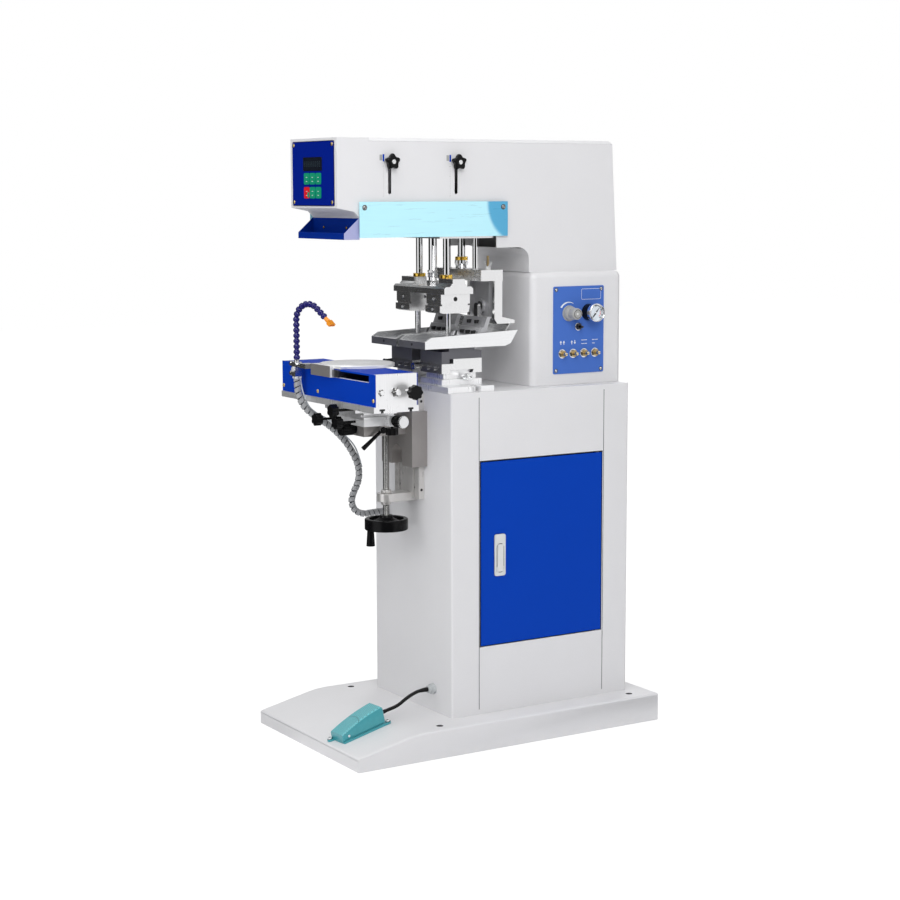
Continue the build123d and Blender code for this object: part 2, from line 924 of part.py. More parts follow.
def make_toggle():
    middle = housing_half + air_panel_thick + toggle_nut / 2
    end = housing_half + air_panel_thick + toggle_length
    ball = Pos(middle, toggle_y, toggle_z) * Rot(0, 90, 0) * Sphere(toggle_ball)
    stem = rod(middle, toggle_y, toggle_z, toggle_stem_radius, end - middle, (1, 0, 0))
    tip = rod(end - toggle_tip, toggle_y, toggle_z, toggle_tip_radius, toggle_tip, (1, 0, 0))
    return ball + stem + tip


def make_valve_knob(step):
    face = housing_half + air_panel_thick
    y = valve_first_y + step * valve_pitch
    stem = rod(face, y, valve_z, valve_stem_radius, valve_nut, (1, 0, 0))
    stem += rod(face + valve_nut, y, valve_z, valve_knob_radius, valve_knob, (1, 0, 0))
    slot = block(face + valve_nut + valve_knob - screw_head, face + valve_nut + valve_knob + overrun,
                 y - screw_head / 4, y + screw_head / 4, valve_z - valve_knob_radius * 2,
                 valve_z + valve_knob_radius * 2)
    return stem - slot


def head_outline():
    # the head's side view, from the chin round to the neck and back
    return [
        (head_front, head_box_bottom), (head_box_back, head_box_bottom - head_box_rise),
        (head_chin_y, head_box_bottom - head_box_rise - head_chin_round),
        (head_chin_y, head_lower), (head_step_y, head_lower), (head_step_y, head_step_z),
        (neck_front, head_step_z), (neck_front, housing_top),
        (head_rear_bottom, housing_top), (head_rear_top, head_top), (head_front, head_top)]


def make_head():
    body = side_profile(head_outline(), -head_half, head_half)
    corner = edges_at(body, lambda c: abs(c.Y - neck_front) < near
                      and abs(c.Z - head_step_z) < near)
    body = fillet(corner, neck_round)
    inside = head_half - head_wall
    ceiling = head_top - head_wall
    chin = head_chin_y + head_wall
    bay = block(-inside, inside, chin, neck_front, head_step_z - overrun, ceiling)
    box_room = block(-inside, inside, head_front + head_wall, chin,
                     head_box_bottom + head_wall, ceiling)
    neck_room = block(-inside, inside, neck_front + head_wall, head_rear_top - head_wall,
                      housing_top - overrun, ceiling)
    neck_room -= block(-neck_web / 2, neck_web / 2, neck_front, head_rear_top,
                       housing_top - overrun, ceiling)
    body = body - bay - box_room - neck_room
    body -= block(-head_half - overrun, head_half + overrun, cover_front,
                  head_rear_bottom + overrun, head_top - cover_thick, head_top + overrun)
    low = stop_slot_bottom
    high = stop_slot_top
    half = stop_slot_width / 2
    for y in (stop_front_y, stop_rear_y):
        body -= block(inside - overrun, head_half + overrun, y - half, y + half,
                      low + half, high - half)
        for z in (low + half, high - half):
            body -= rod(inside - overrun, y, z, half, head_wall + overrun * 2, (1, 0, 0))
    return body


def make_cover():
    lid = block(-head_half, head_half, cover_front, head_rear_top,
                head_top - cover_thick, head_top)
    bevel = edges_at(lid, lambda c: c.Z > head_top - near and c.Y > cover_front + near)
    return chamfer(bevel, cover_chamfer)


def make_control_panel():
    face = head_front - control_thick
    panel = rounded_plate_y(-control_half, control_half, control_bottom, control_top,
                            face, head_front, control_corner)
    for x in (-control_half + control_screw_inset, control_half - control_screw_inset):
        for z in (control_bottom + control_screw_inset, control_top - control_screw_inset):
            panel += rod(x, face, z, screw_radius, screw_head, (0, -1, 0))
    panel += block(-display_half, display_half, face - display_rise, face,
                   display_bottom, display_top)
    for z in (key_row_top_z, key_row_low_z):
        for column in range(key_columns):
            x = (column - (key_columns - 1) / 2) * key_pitch_x
            panel += rounded_plate_y(x - key_width / 2, x + key_width / 2, z - key_height / 2,
                                     z + key_height / 2, face - key_rise, face, key_corner)
    return panel


def make_tool_tray():
    back = head_chin_y
    front = back - tooltray_depth
    lip = tooltray_bottom + tooltray_lip
    outline = [(back, tooltray_bottom), (back, tooltray_top), (back - tooltray_sheet, tooltray_top),
               (front, lip), (front, tooltray_bottom)]
    tray = side_profile(outline, -tooltray_half, tooltray_half)
    tray -= block(-tooltray_half + tooltray_sheet, tooltray_half - tooltray_sheet,
                  front + tooltray_sheet, back - tooltray_sheet,
                  tooltray_bottom + tooltray_sheet, tooltray_top + overrun)
    for x in (-tooltray_screw_x, tooltray_screw_x):
        tray += rod(x, back - tooltray_sheet, tooltray_screw_z, screw_radius, screw_head,
                    (0, -1, 0))
    return tray


def make_guards():
    parts = []
    for side in (-1, 1):
        inner = head_half + guard_spacer
        x0 = side * inner
        x1 = side * (inner + guard_thick)
        plate = block(x0, x1, guard_front, guard_rear, guard_bottom, guard_top)
        for y in (guard_front + guard_screw_inset, guard_rear - guard_screw_inset):
            z = guard_top - guard_screw_inset
            plate += rod(side * head_half, y, z, guard_spacer_radius, guard_spacer, (side, 0, 0))
            plate += rod(x1, y, z, screw_radius * guard_screw_share, screw_head, (side, 0, 0))
        parts.append(plate)
    return Compound(children=parts)


def make_rails():
    start = head_chin_y + head_wall
    length = neck_front - start
    parts = []
    for x in (-rail_x, rail_x):
        parts.append(rod(x, start, rail_z, rail_radius, length, (0, 1, 0)))
    parts.append(rod(-rail_x, start, drive_z, drive_radius, length, (0, 1, 0)))
    return Compound(children=parts)


def make_carriage():
    top = carriage_bottom + carriage_plate
    body = block(-carriage_half, carriage_half, carriage_front, carriage_rear,
                 carriage_bottom, top)
    for side, ceiling in ((-1, carriage_drive_top), (1, carriage_block_top)):
        body += block(side * carriage_block_inner, side * carriage_block_outer,
                      carriage_block_front, carriage_block_rear, top, ceiling)
    body += block(-pad_cylinder_half, pad_cylinder_half, pad_y - pad_cylinder_half,
                  pad_y + pad_cylinder_half, top, pad_cylinder_top)
    body += block(-blade_cylinder_half, blade_cylinder_half, blade_y - blade_cylinder_half,
                  blade_y + blade_cylinder_half, top, blade_cylinder_top)
    for x in (-pad_rod_x, pad_rod_x):
        for y in (pad_y, blade_y):
            body += rod(x, y, top, bush_radius, bush_height)
    depth = carriage_rear - carriage_front + overrun * 2
    for x in (-rail_x, rail_x):
        body -= rod(x, carriage_front - overrun, rail_z, rail_radius + shaft_gap, depth, (0, 1, 0))
    body -= rod(-rail_x, carriage_front - overrun, drive_z, drive_radius + air_gap, depth,
                (0, 1, 0))
    below = carriage_bottom - overrun
    through = carriage_plate + bush_height + overrun * 2
    for x in (-pad_rod_x, pad_rod_x):
        body -= rod(x, pad_y, below, pad_rod_radius + shaft_gap, through)
        body -= rod(x, blade_y, below, blade_rod_radius + shaft_gap, through)
    body -= rod(0, pad_y, below, pad_piston_radius + shaft_gap,
                pad_cylinder_top - head_wall * 2 - below)
    body -= rod(0, blade_y, below, blade_piston_radius + shaft_gap,
                blade_cylinder_top - head_wall * 2 - below)
    return body


def make_stop_knob(y):
    # block inside the cheek, stem through the slot, washer, neck and star
    z = stop_slot_top - stop_slot_width / 2
    inside = head_half - head_wall - slide_gap
    knob = block(inside - stop_block_thick, inside, y - stop_block_width / 2,
                 y + stop_block_width / 2, z - stop_block_width / 2, z + stop_block_width / 2)
    out = head_half + slide_gap
    knob += rod(inside, y, z, stop_stem_radius, out - inside, (1, 0, 0))
    knob += rod(out, y, z, stop_washer_radius, stop_washer, (1, 0, 0))
    knob += rod(out + stop_washer, y, z, stop_neck_radius, stop_neck, (1, 0, 0))
    star = lobed_disc(stop_knob_radius, stop_lobes, stop_lobe_radius, stop_knob_thick)
    place = Plane(origin=(out + stop_washer + stop_neck, y, z), z_dir=(1, 0, 0))
    return knob + place * star


def pad_web_bottom():
    return pad_beam_bottom + pad_flange


def make_pad_beam():
    half = pad_beam_depth / 2
    web = pad_web_depth / 2
    top = pad_web_bottom()
    flange = side_profile(
        [(pad_y - half, pad_beam_bottom), (pad_y + half, pad_beam_bottom),
         (pad_y + half, top - pad_shoulder), (pad_y + half - pad_shoulder, top),
         (pad_y - half + pad_shoulder, top), (pad_y - half, top - pad_shoulder)],
        -pad_beam_half, pad_beam_half)
    for side in (-1, 1):
        outer = side * pad_beam_half
        inner = side * (pad_beam_half - pad_block_length)
        lug = side_profile(
            [(pad_y - web - pad_fillet, top), (pad_y - web, top + pad_fillet),
             (pad_y - web, pad_web_top), (pad_y + web, pad_web_top),
             (pad_y + web, top + pad_fillet), (pad_y + web + pad_fillet, top)],
            inner, outer)
        flange += lug
    return flange


def make_pad_rods():
    parts = []
    for x in (-pad_rod_x, pad_rod_x):
        post = rod(x, pad_y, pad_web_top, pad_rod_radius, pad_rod_top - pad_web_top)
        post += rod(x, pad_y, pad_web_top, pad_ring_radius, pad_ring)
        parts.append(post)
    low = pad_web_bottom()
    piston = rod(0, pad_y, low, pad_piston_radius, pad_piston_top - low)
    piston += hexagon(0, pad_y, low, pad_nut_radius, pad_nut, (0, 0, 1))
    parts.append(piston)
    return Compound(children=parts)


def make_pad_holder(side):
    x = side * pad_offset
    half = pad_holder_width / 2
    depth = pad_beam_depth / 2
    top = pad_beam_bottom
    middle = top - pad_holder_upper
    low_top = middle - pad_holder_groove
    bottom = low_top - pad_holder_lower
    inset = pad_holder_setback
    body = side_profile(
        [(pad_y - depth, top), (pad_y + depth, top), (pad_y + depth, middle),
         (pad_y + depth - inset * 2, middle), (pad_y + depth - inset * 2, low_top),
         (pad_y + depth, low_top), (pad_y + depth - inset, bottom + inset),
         (pad_y + depth - inset * 3, bottom), (pad_y - depth + inset * 2, bottom),
         (pad_y - depth - inset, bottom + inset), (pad_y - depth - inset, low_top),
         (pad_y - depth + inset, low_top), (pad_y - depth + inset, middle),
         (pad_y - depth, middle)],
        x - half, x + half)
    body -= rod(x + half - overrun * 2, pad_y, middle + pad_holder_upper / 2,
                pad_holder_groove, overrun * 3, (1, 0, 0))
    for z in (middle + pad_holder_upper / 2, bottom + pad_holder_lower / 2):
        out = depth if z > middle else depth + inset
        body += rod(x, pad_y - out, z, screw_radius * pad_holder_screw_share, screw_head, (0, -1, 0))
    stem = rod(x, pad_y, pad_stem_bottom, pad_stem_radius, bottom - pad_stem_bottom)
    return body + stem


def make_blade_beam():
    body = block(-blade_beam_half, blade_beam_half, blade_beam_front, blade_beam_rear,
                 blade_beam_bottom, blade_beam_top)
    for side in (-1, 1):
        x = side * doctor_offset
        half = blade_plate_width / 2
        body += block(x - half, x + half, blade_plate_y, blade_plate_y + blade_plate_thick,
                      blade_plate_bottom, blade_beam_bottom)
        body += block(x - half - blade_cheek_width, x - half,
                      blade_plate_y + blade_plate_thick - blade_cheek_depth,
                      blade_plate_y + blade_plate_thick,
                      blade_plate_bottom, blade_beam_bottom)
        body += tube(x, blade_plate_y - blade_boss, blade_boss_z, blade_boss_radius,
                     doctor_stem_radius + air_gap, blade_boss, (0, 1, 0))
        body -= rod(x, blade_plate_y - blade_boss, blade_boss_z,
                    doctor_stem_radius + air_gap, blade_plate_thick + blade_boss, (0, 1, 0))
        body += spatula(side)
        stud = rod(side * wing_x, wing_y, blade_beam_top, wing_stud_radius,
                   wing_stud_top - blade_beam_top)
        hub = rod(side * wing_x, wing_y, blade_beam_top, wing_hub_radius, wing_hub)
        low = blade_beam_top + wing_hub / 2
        wings = front_profile(
            [(-wing_hub_radius, low), (wing_hub_radius, low),
             (wing_reach, low + wing_rise), (wing_reach - wing_thick, low + wing_rise + wing_thick),
             (wing_stud_radius, low + wing_thick), (-wing_stud_radius, low + wing_thick),
             (wing_thick - wing_reach, low + wing_rise + wing_thick),
             (-wing_reach, low + wing_rise)],
            wing_y - wing_thick / 2, wing_y + wing_thick / 2)
        body += stud + hub + Pos(side * wing_x, 0, 0) * wings
    return body


def spatula(side):
    # an arm down from the beam's end, a foot to the rear and a leaning blade
    inner = side * (spatula_arm_x - spatula_arm_width / 2)
    outer = side * (spatula_arm_x + spatula_arm_width / 2)
    thick = spatula_bar_thick
    rear = blade_beam_rear
    foot_z = spatula_arm_bottom - spatula_foot_drop
    arm = side_profile(
        [(spatula_arm_front, blade_beam_bottom), (spatula_arm_front, spatula_arm_bottom),
         (spatula_arm_front + thick, foot_z), (spatula_foot_rear, foot_z),
         (spatula_foot_rear, foot_z + thick), (rear, foot_z + thick * 2),
         (rear, blade_beam_bottom)],
        min(inner, outer), max(inner, outer))
    x = side * doctor_offset
    shift = (spatula_arm_bottom - spatula_plate_bottom) * math.tan(math.radians(spatula_lean))
    front = spatula_foot_rear - thick * 2
    blade = side_profile(
        [(front, foot_z), (front + spatula_plate_thick, foot_z),
         (front + spatula_plate_thick - shift, spatula_plate_bottom),
         (front - shift, spatula_plate_bottom)],
        x - spatula_width / 2, x + spatula_width / 2)
    bar = block(x - spatula_width / 2, side * spatula_arm_x, front - thick / 2, spatula_foot_rear,
                foot_z, foot_z + thick)
    if side < 0:
        bar = block(side * spatula_arm_x, x + spatula_width / 2, front - thick / 2,
                    spatula_foot_rear, foot_z, foot_z + thick)
    return arm + blade + bar


def make_blade_rods():
    parts = []
    for x in (-pad_rod_x, pad_rod_x):
        parts.append(rod(x, blade_y, blade_beam_top, blade_rod_radius,
                         blade_rod_top - blade_beam_top))
    piston = rod(0, blade_y, blade_beam_top, blade_piston_radius,
                 blade_piston_top - blade_beam_top)
    piston += rod(0, blade_y, blade_ring_z, blade_ring_radius, blade_ring)
    piston += rod(0, blade_y, blade_beam_top, blade_spring_radius, blade_ring_z - blade_beam_top)
    parts.append(piston)
    return Compound(children=parts)


def make_doctor(side):
    # holder bar, clamp bar, blade and the pivot pin into the boss
    x = side * doctor_offset
    half = doctor_width / 2
    lean = math.tan(math.radians(doctor_lean))
    height = doctor_top_z - doctor_bottom_z
    top_front = blade_plate_y - blade_boss - air_gap - doctor_thick
    shift = -height * lean
    holder = side_profile(
        [(top_front, doctor_top_z), (top_front + doctor_thick, doctor_top_z),
         (top_front + doctor_thick + shift, doctor_bottom_z),
         (top_front + shift, doctor_bottom_z)],
        x - half, x + half)
    middle = (doctor_top_z + doctor_bottom_z) / 2
    middle_shift = -(doctor_top_z - middle) * lean
    clamp = side_profile(
        [(top_front - doctor_clamp_thick + middle_shift, middle), (top_front + middle_shift, middle),
         (top_front + shift, doctor_bottom_z),
         (top_front - doctor_clamp_thick + shift, doctor_bottom_z)],
        x - half, x + half)
    tip_shift = doctor_blade_out * lean
    blade = side_profile(
        [(top_front + shift, doctor_bottom_z),
         (top_front + shift + doctor_blade_thick, doctor_bottom_z),
         (top_front + shift + doctor_blade_thick - tip_shift, doctor_bottom_z - doctor_blade_out),
         (top_front + shift - tip_shift, doctor_bottom_z - doctor_blade_out)],
        x - half, x + half)
    body = holder + clamp + blade
    pin_start = top_front + doctor_thick / 2
    neck = block(x - doctor_stem_radius, x + doctor_stem_radius, top_front,
                 top_front + doctor_thick, doctor_top_z, blade_boss_z)
    body += neck
    body += rod(x, top_front, blade_boss_z, doctor_stem_radius, doctor_thick, (0, 1, 0))
    body += rod(x, pin_start, blade_boss_z, doctor_stem_radius,
                blade_plate_y + blade_plate_thick / 2 - pin_start, (0, 1, 0))
    z_high = (doctor_top_z + middle) / 2
    z_low = (doctor_bottom_z + middle) / 2
    for z, count, front in ((z_high, 2, top_front), (z_low, 3, top_front - doctor_clamp_thick)):
        y = front - (doctor_top_z - z) * lean
        for step in range(count):
            spot = x + (step - (count - 1) / 2) * doctor_width / (count + 1)
            body += block(spot - doctor_screw_half, spot + doctor_screw_half,
                          y - doctor_screw_out, y + doctor_clamp_thick / 2,
                          z - doctor_screw_half, z + doctor_screw_half)
    return body


def make_ink_tray(side):
    # the tray with its upper slide and the etched plate
    x = side * tray_offset
    half = tray_width / 2
    body = side_profile(
        [(tray_front, tray_bottom), (tray_floor_rear, tray_bottom), (tray_heel_y, tray_heel_z),
         (tray_tip_y, tray_tip_z), (tray_shoulder_y, tray_shoulder_z),
         (tray_front, tray_front_z)],
        x - half, x + half)
    room = half - tray_wall
    inner_front = tray_front + tray_front_wall
    pocket = side_profile(
        [(inner_front, tray_floor_z), (tray_floor_rear - tray_wall, tray_floor_z),
         (tray_tip_y - tray_wall * 2, tray_tip_z + overrun),
         (inner_front, tray_tip_z + overrun)],
        x - room, x + room)
    body -= pocket
    body -= block(x - room, x + room, tray_front - overrun, inner_front + overrun,
                  tray_front_z, tray_tip_z)
    body -= rod(x, tray_front - overrun, tray_front_z - tray_hole_drop, tray_hole_radius,
                tray_front_wall, (0, 1, 0))
    plate = block(x - room + plate_gap, x + room - plate_gap, inner_front + plate_gap,
                  plate_rear_y, tray_floor_z, plate_top_z)
    stage_x = side * stage_offset
    wide = stage_width / 2
    slide = side_profile(
        [(stage_front, stage_step_z + slide_gap), (stage_step_front, stage_step_z + slide_gap),
         (stage_step_front, stage_split_z + slide_gap), (stage_rear, stage_split_z + slide_gap),
         (stage_rear, tray_bottom - stage_tongue),
         (stage_rear - stage_tongue_inset, tray_bottom - stage_tongue),
         (stage_rear - stage_tongue_inset, tray_bottom),
         (stage_front + stage_tongue_inset, tray_bottom),
         (stage_front + stage_tongue_inset, tray_bottom - stage_tongue),
         (stage_front, tray_bottom - stage_tongue)],
        stage_x - wide, stage_x + wide)
    rail = dovetail_along_y(stage_x, stage_step_rear, stage_rear, stage_split_z - stage_tongue,
                            stage_split_z + slide_gap, 0)
    slide = slide + rail
    return Compound(children=[body, plate, slide])


def dovetail_along_y(x, y0, y1, z0, z1, clear):
    half = stage_dovetail / 2 + clear
    flare = stage_dovetail_flare
    return front_profile(
        [(x - half - flare, z0 - clear), (x + half + flare, z0 - clear),
         (x + half, z1), (x - half, z1)], y0, y1)


def dovetail_along_x(y, x0, x1, z0, z1, clear):
    half = stage_dovetail / 2 + clear
    flare = stage_dovetail_flare
    return side_profile(
        [(y - half, z0), (y + half, z0), (y + half + flare, z1 + clear),
         (y - half - flare, z1 + clear)], x0, x1)


def stage_middle_y():
    return (stage_front + stage_rear) / 2


def make_stage_slide(side):
    x = side * stage_offset
    half = stage_width / 2
    body = side_profile(
        [(stage_front, stage_slide_bottom), (stage_rear, stage_slide_bottom),
         (stage_rear, stage_split_z), (stage_step_rear, stage_split_z),
         (stage_step_rear, stage_step_z), (stage_front, stage_step_z)],
        x - half, x + half)
    body -= dovetail_along_y(x, stage_step_rear - overrun, stage_rear + overrun,
                             stage_split_z - stage_tongue, stage_split_z + overrun / 2,
                             slide_gap)
    body -= dovetail_along_x(stage_middle_y(), x - half - overrun, x + half + overrun,
                             stage_slide_bottom - overrun, stage_slide_bottom + stage_tongue,
                             slide_gap)
    front = body.bounding_box().min.Y
    for shift in (0, front_knurl_inset):
        body += rod(x + shift, front, stage_step_z - front_screw_radius * 2,
                    front_screw_radius, front_screw, (0, -1, 0))
    return body


def make_tray_base():
    low = column_top
    top = column_top + tray_base_thick
    body = block(-tray_base_half, tray_base_half, tray_base_front, tray_base_rear, low, top)
    for side in (-1, 1):
        inner = side * (tray_base_half - tray_base_slot_depth)
        outer = side * (tray_base_half + overrun)
        body -= block(inner, outer, tray_base_slot_y - tray_base_slot / 2,
                      tray_base_slot_y + tray_base_slot / 2, low - overrun, top + overrun)
        body += rod(inner + side * tray_base_slot / 2, tray_base_slot_y, low,
                    tray_base_slot / 2 - screw_head, tray_base_thick - screw_head)
        x = side * stage_offset
        half = stage_width / 2
        foot = block(x - half, x + half, stage_front, stage_rear, top, stage_foot_top)
        foot += block(x - half + stage_neck_inset, x + half - stage_neck_inset,
                      stage_front + stage_neck_inset, stage_rear - stage_neck_inset,
                      stage_foot_top, stage_slide_bottom - slide_gap)
        foot += dovetail_along_x(stage_middle_y(), x - half + stage_neck_inset,
                                 x + half - stage_neck_inset, stage_slide_bottom - slide_gap,
                                 stage_slide_bottom + stage_tongue, 0)
        body += foot
    return body


def knurled(x, y, z, along):
    # a thumb screw: thin stem, then the knurled head with a blind socket
    stem = rod(x, y, z, knurl_stem_radius, knurl_stem, along)
    hx = x + along[0] * knurl_stem
    hy = y + along[1] * knurl_stem
    head = rod(hx, hy, z, knurl_radius, knurl_length, along)
    ex = hx + along[0] * knurl_length
    ey = hy + along[1] * knurl_length
    head -= rod(ex, ey, z, knurl_stem_radius, screw_head * 2, (-along[0], -along[1], 0))
    return stem + head


def make_side_knob(side):
    half = stage_width / 2 - stage_neck_inset
    x = side * (stage_offset + half)
    return knurled(x, side_knurl_y, side_knurl_z, (side, 0, 0))


def make_front_knob(side):
    x = side * stage_offset - front_knurl_inset
    return knurled(x, stage_front, front_knurl_z, (0, -1, 0))


def make_guide():
    body = side_profile(
        [(column_front, guide_bottom), (column_front, guide_top),
         (column_front - guide_thick, guide_top), (column_front - guide_thick, guide_bottom)],
        -guide_half, guide_half)
    front = column_front - guide_thick
    for x in (-guide_slot_x, guide_slot_x):
        body -= block(x - guide_slot_half, x + guide_slot_half, front - overrun,
                      front + guide_slot_depth, guide_bottom - overrun, guide_top + overrun)
    arm = block(-bracket_half, bracket_half, screw_y, column_front, bracket_bottom, bracket_top)
    arm += rod(0, screw_y, bracket_bottom, bracket_half, bracket_top - bracket_bottom)
    body += arm
    body -= rod(0, screw_y, bracket_bottom - overrun, screw_thread_radius + shaft_gap,
                bracket_top - bracket_bottom + overrun * 2)
    return body


def make_saddle():
    rear = column_front - guide_thick - slide_gap
    body = block(-saddle_half, saddle_half, saddle_front, rear, saddle_bottom, saddle_top)
    slot = block(-saddle_slot_half, saddle_slot_half, saddle_front - overrun, rear + overrun,
                 saddle_bottom - overrun, saddle_slot_top - saddle_slot_half)
    slot += rod(0, saddle_front - overrun, saddle_slot_top - saddle_slot_half,
                saddle_slot_half, rear - saddle_front + overrun * 2, (0, 1, 0))
    body -= slot
    for side in (-1, 1):
        gib_inner = side * (guide_half + slide_gap)
        body += block(gib_inner, side * saddle_half, rear, column_front - slide_gap,
                      saddle_bottom, saddle_top)
    knee = block(-knee_half, knee_half, knee_front, saddle_front, knee_bottom, knee_top)
    body += knee
    body += rod(knee_half, clamp_y, clamp_z, clamp_hub_radius / 2,
                clamp_x - knee_half + clamp_hub / 2, (1, 0, 0))
    body += block(-cross_rail / 2, cross_rail / 2, knee_front, saddle_front, knee_top,
                  knee_top + cross_rail_height)
    body -= rod(0, screw_y, knee_bottom - overrun, screw_thread_radius + shaft_gap,
                knee_top + cross_rail_height - knee_bottom + overrun * 2)
    body -= rod(0, knee_front - overrun, feed_y_z, feed_stem_radius + shaft_gap,
                feed_stem + overrun, (0, 1, 0))
    return body


def make_lead_screw():
    body = rod(0, screw_y, wheel_top_z - wheel_rim_height, screw_thread_radius,
               screw_top - wheel_top_z + wheel_rim_height)
    for low in (bracket_bottom - screw_collar, bracket_top):
        body += rod(0, screw_y, low, screw_collar_radius, screw_collar)
    return body


def make_handwheel():
    low = wheel_top_z - wheel_rim_height
    rim = tube(0, screw_y, low, wheel_radius, wheel_radius - wheel_rim_width, wheel_rim_height)
    outer = edges_at(rim, lambda c: True)
    rim = fillet(outer, wheel_rim_width / 4)
    web_low = wheel_top_z - wheel_web_drop - wheel_web
    web = rod(0, screw_y, web_low, wheel_radius - wheel_rim_width / 2, wheel_web)
    for step in range(wheel_windows):
        angle = math.radians(90 + step * 360 / wheel_windows)
        x = wheel_window_radius * math.cos(angle)
        y = screw_y + wheel_window_radius * math.sin(angle)
        web -= rod(x, y, web_low - overrun, wheel_window_size, wheel_web + overrun * 2)
    hub = frustum(0, screw_y, web_low, wheel_hub_radius, wheel_hub_top_radius,
                  wheel_web + wheel_hub_rise)
    body = rim + web + hub
    angle = math.radians(wheel_grip_angle)
    reach = wheel_radius - wheel_rim_width / 2
    gx = reach * math.cos(angle)
    gy = screw_y + reach * math.sin(angle)
    body += frustum(gx, gy, low + wheel_rim_width / 4, wheel_grip_top_radius, wheel_grip_radius,
                    wheel_grip_length, (0, 0, -1))
    body -= rod(0, screw_y, low - overrun, screw_thread_radius, wheel_rim_height * 3)
    return body


def make_clamp_lever():
    start = clamp_x
    hub = rod(start, clamp_y, clamp_z, clamp_hub_radius, clamp_hub, (1, 0, 0))
    hub -= rod(start - overrun, clamp_y, clamp_z, clamp_hub_radius / 2 + shaft_gap,
               clamp_hub / 2 + overrun, (1, 0, 0))
    angle = math.radians(clamp_angle)
    along = (0, math.cos(angle), math.sin(angle))
    mid = start + clamp_hub / 2
    arm_y = clamp_y + along[1] * clamp_hub_radius / 2
    arm_z = clamp_z + along[2] * clamp_hub_radius / 2
    arm = frustum(mid, arm_y, arm_z, clamp_root_radius, clamp_tip_radius, clamp_length, along)
    arm -= rod(start - overrun, clamp_y, clamp_z, clamp_hub_radius / 2 + shaft_gap,
               clamp_hub / 2 + overrun, (1, 0, 0))
    return hub + arm


def make_cross_slide():
    body = block(-cross_half, cross_half, cross_front, cross_rear, cross_bottom, cross_top)
    body -= block(-cross_rail / 2 - slide_gap, cross_rail / 2 + slide_gap,
                  cross_front - overrun, cross_rear + overrun,
                  cross_bottom - overrun, cross_bottom + cross_rail_height + slide_gap)
    middle = (cross_front + cross_rear) / 2
    body += block(-cross_half, cross_half, middle - cross_rail / 2, middle + cross_rail / 2,
                  cross_top, cross_top + cross_rail_height)
    outer = feed_x_start - feed_stem / 2
    for inner, low, high in ((cross_half, cross_bottom, cross_top),
                             (cross_half + feed_block_gap, cross_top,
                              feed_x_z + feed_collar_radius)):
        body += block(inner, outer, feed_x_y - feed_collar_radius,
                      feed_x_y + feed_collar_radius, low, high)
    body -= rod(feed_x_start, feed_x_y, feed_x_z, feed_stem_radius + shaft_gap,
                feed_stem + air_gap, (-1, 0, 0))
    for x, z in ((lobe_left_x, lobe_left_z), (lobe_low_x, lobe_low_z)):
        body -= rod(x, cross_front - overrun, z, lobe_stem_radius + shaft_gap,
                    lobe_seat + overrun, (0, 1, 0))
    body -= rod(lobe_under_x, lobe_under_y, cross_bottom - overrun,
                lobe_stem_radius + shaft_gap, cross_top - cross_bottom + overrun * 2)
    return body


def feed_knob(x, y, z, along):
    # collar, ribbed grip and a bright end cap, starting at the point
    stem = rod(x, y, z, feed_stem_radius, feed_stem, (-along[0], -along[1], 0))
    knob = stem + rod(x, y, z, feed_collar_radius, feed_collar, along)
    gx = x + along[0] * feed_collar
    gy = y + along[1] * feed_collar
    outline = Circle(feed_radius)
    for step in range(feed_rib_count):
        angle = math.radians(step * 360 / feed_rib_count)
        outline -= Pos(feed_radius * math.cos(angle), feed_radius * math.sin(angle)) * Circle(
            feed_rib_depth)
    place = Plane(origin=(gx, gy, z), z_dir=along)
    knob += place * extrude(outline, amount=feed_length)
    ex = gx + along[0] * feed_length
    ey = gy + along[1] * feed_length
    return knob + rod(ex, ey, z, feed_cap_radius, feed_cap, along)


def make_feed_knob_x():
    return feed_knob(feed_x_start, feed_x_y, feed_x_z, (1, 0, 0))


def make_feed_knob_y():
    return feed_knob(0, knee_front, feed_y_z, (0, -1, 0))


def lobe_knob():
    return lobed_disc(lobe_knob_radius, lobe_knob_lobes, lobe_knob_lobe, lobe_knob_thick)


def make_front_clamp(x, front, z, reach):
    stem = rod(x, front + lobe_seat, z, lobe_stem_radius, lobe_seat + reach, (0, -1, 0))
    place = Plane(origin=(x, front - reach, z), z_dir=(0, -1, 0))
    return stem + place * lobe_knob()


def make_under_clamp():
    z = cross_bottom - lobe_under_stem
    stem = rod(lobe_under_x, lobe_under_y, z, lobe_stem_radius,
               lobe_under_stem + cross_top - cross_bottom)
    place = Plane(origin=(lobe_under_x, lobe_under_y, z), z_dir=(0, 0, -1))
    return stem + place * lobe_knob()


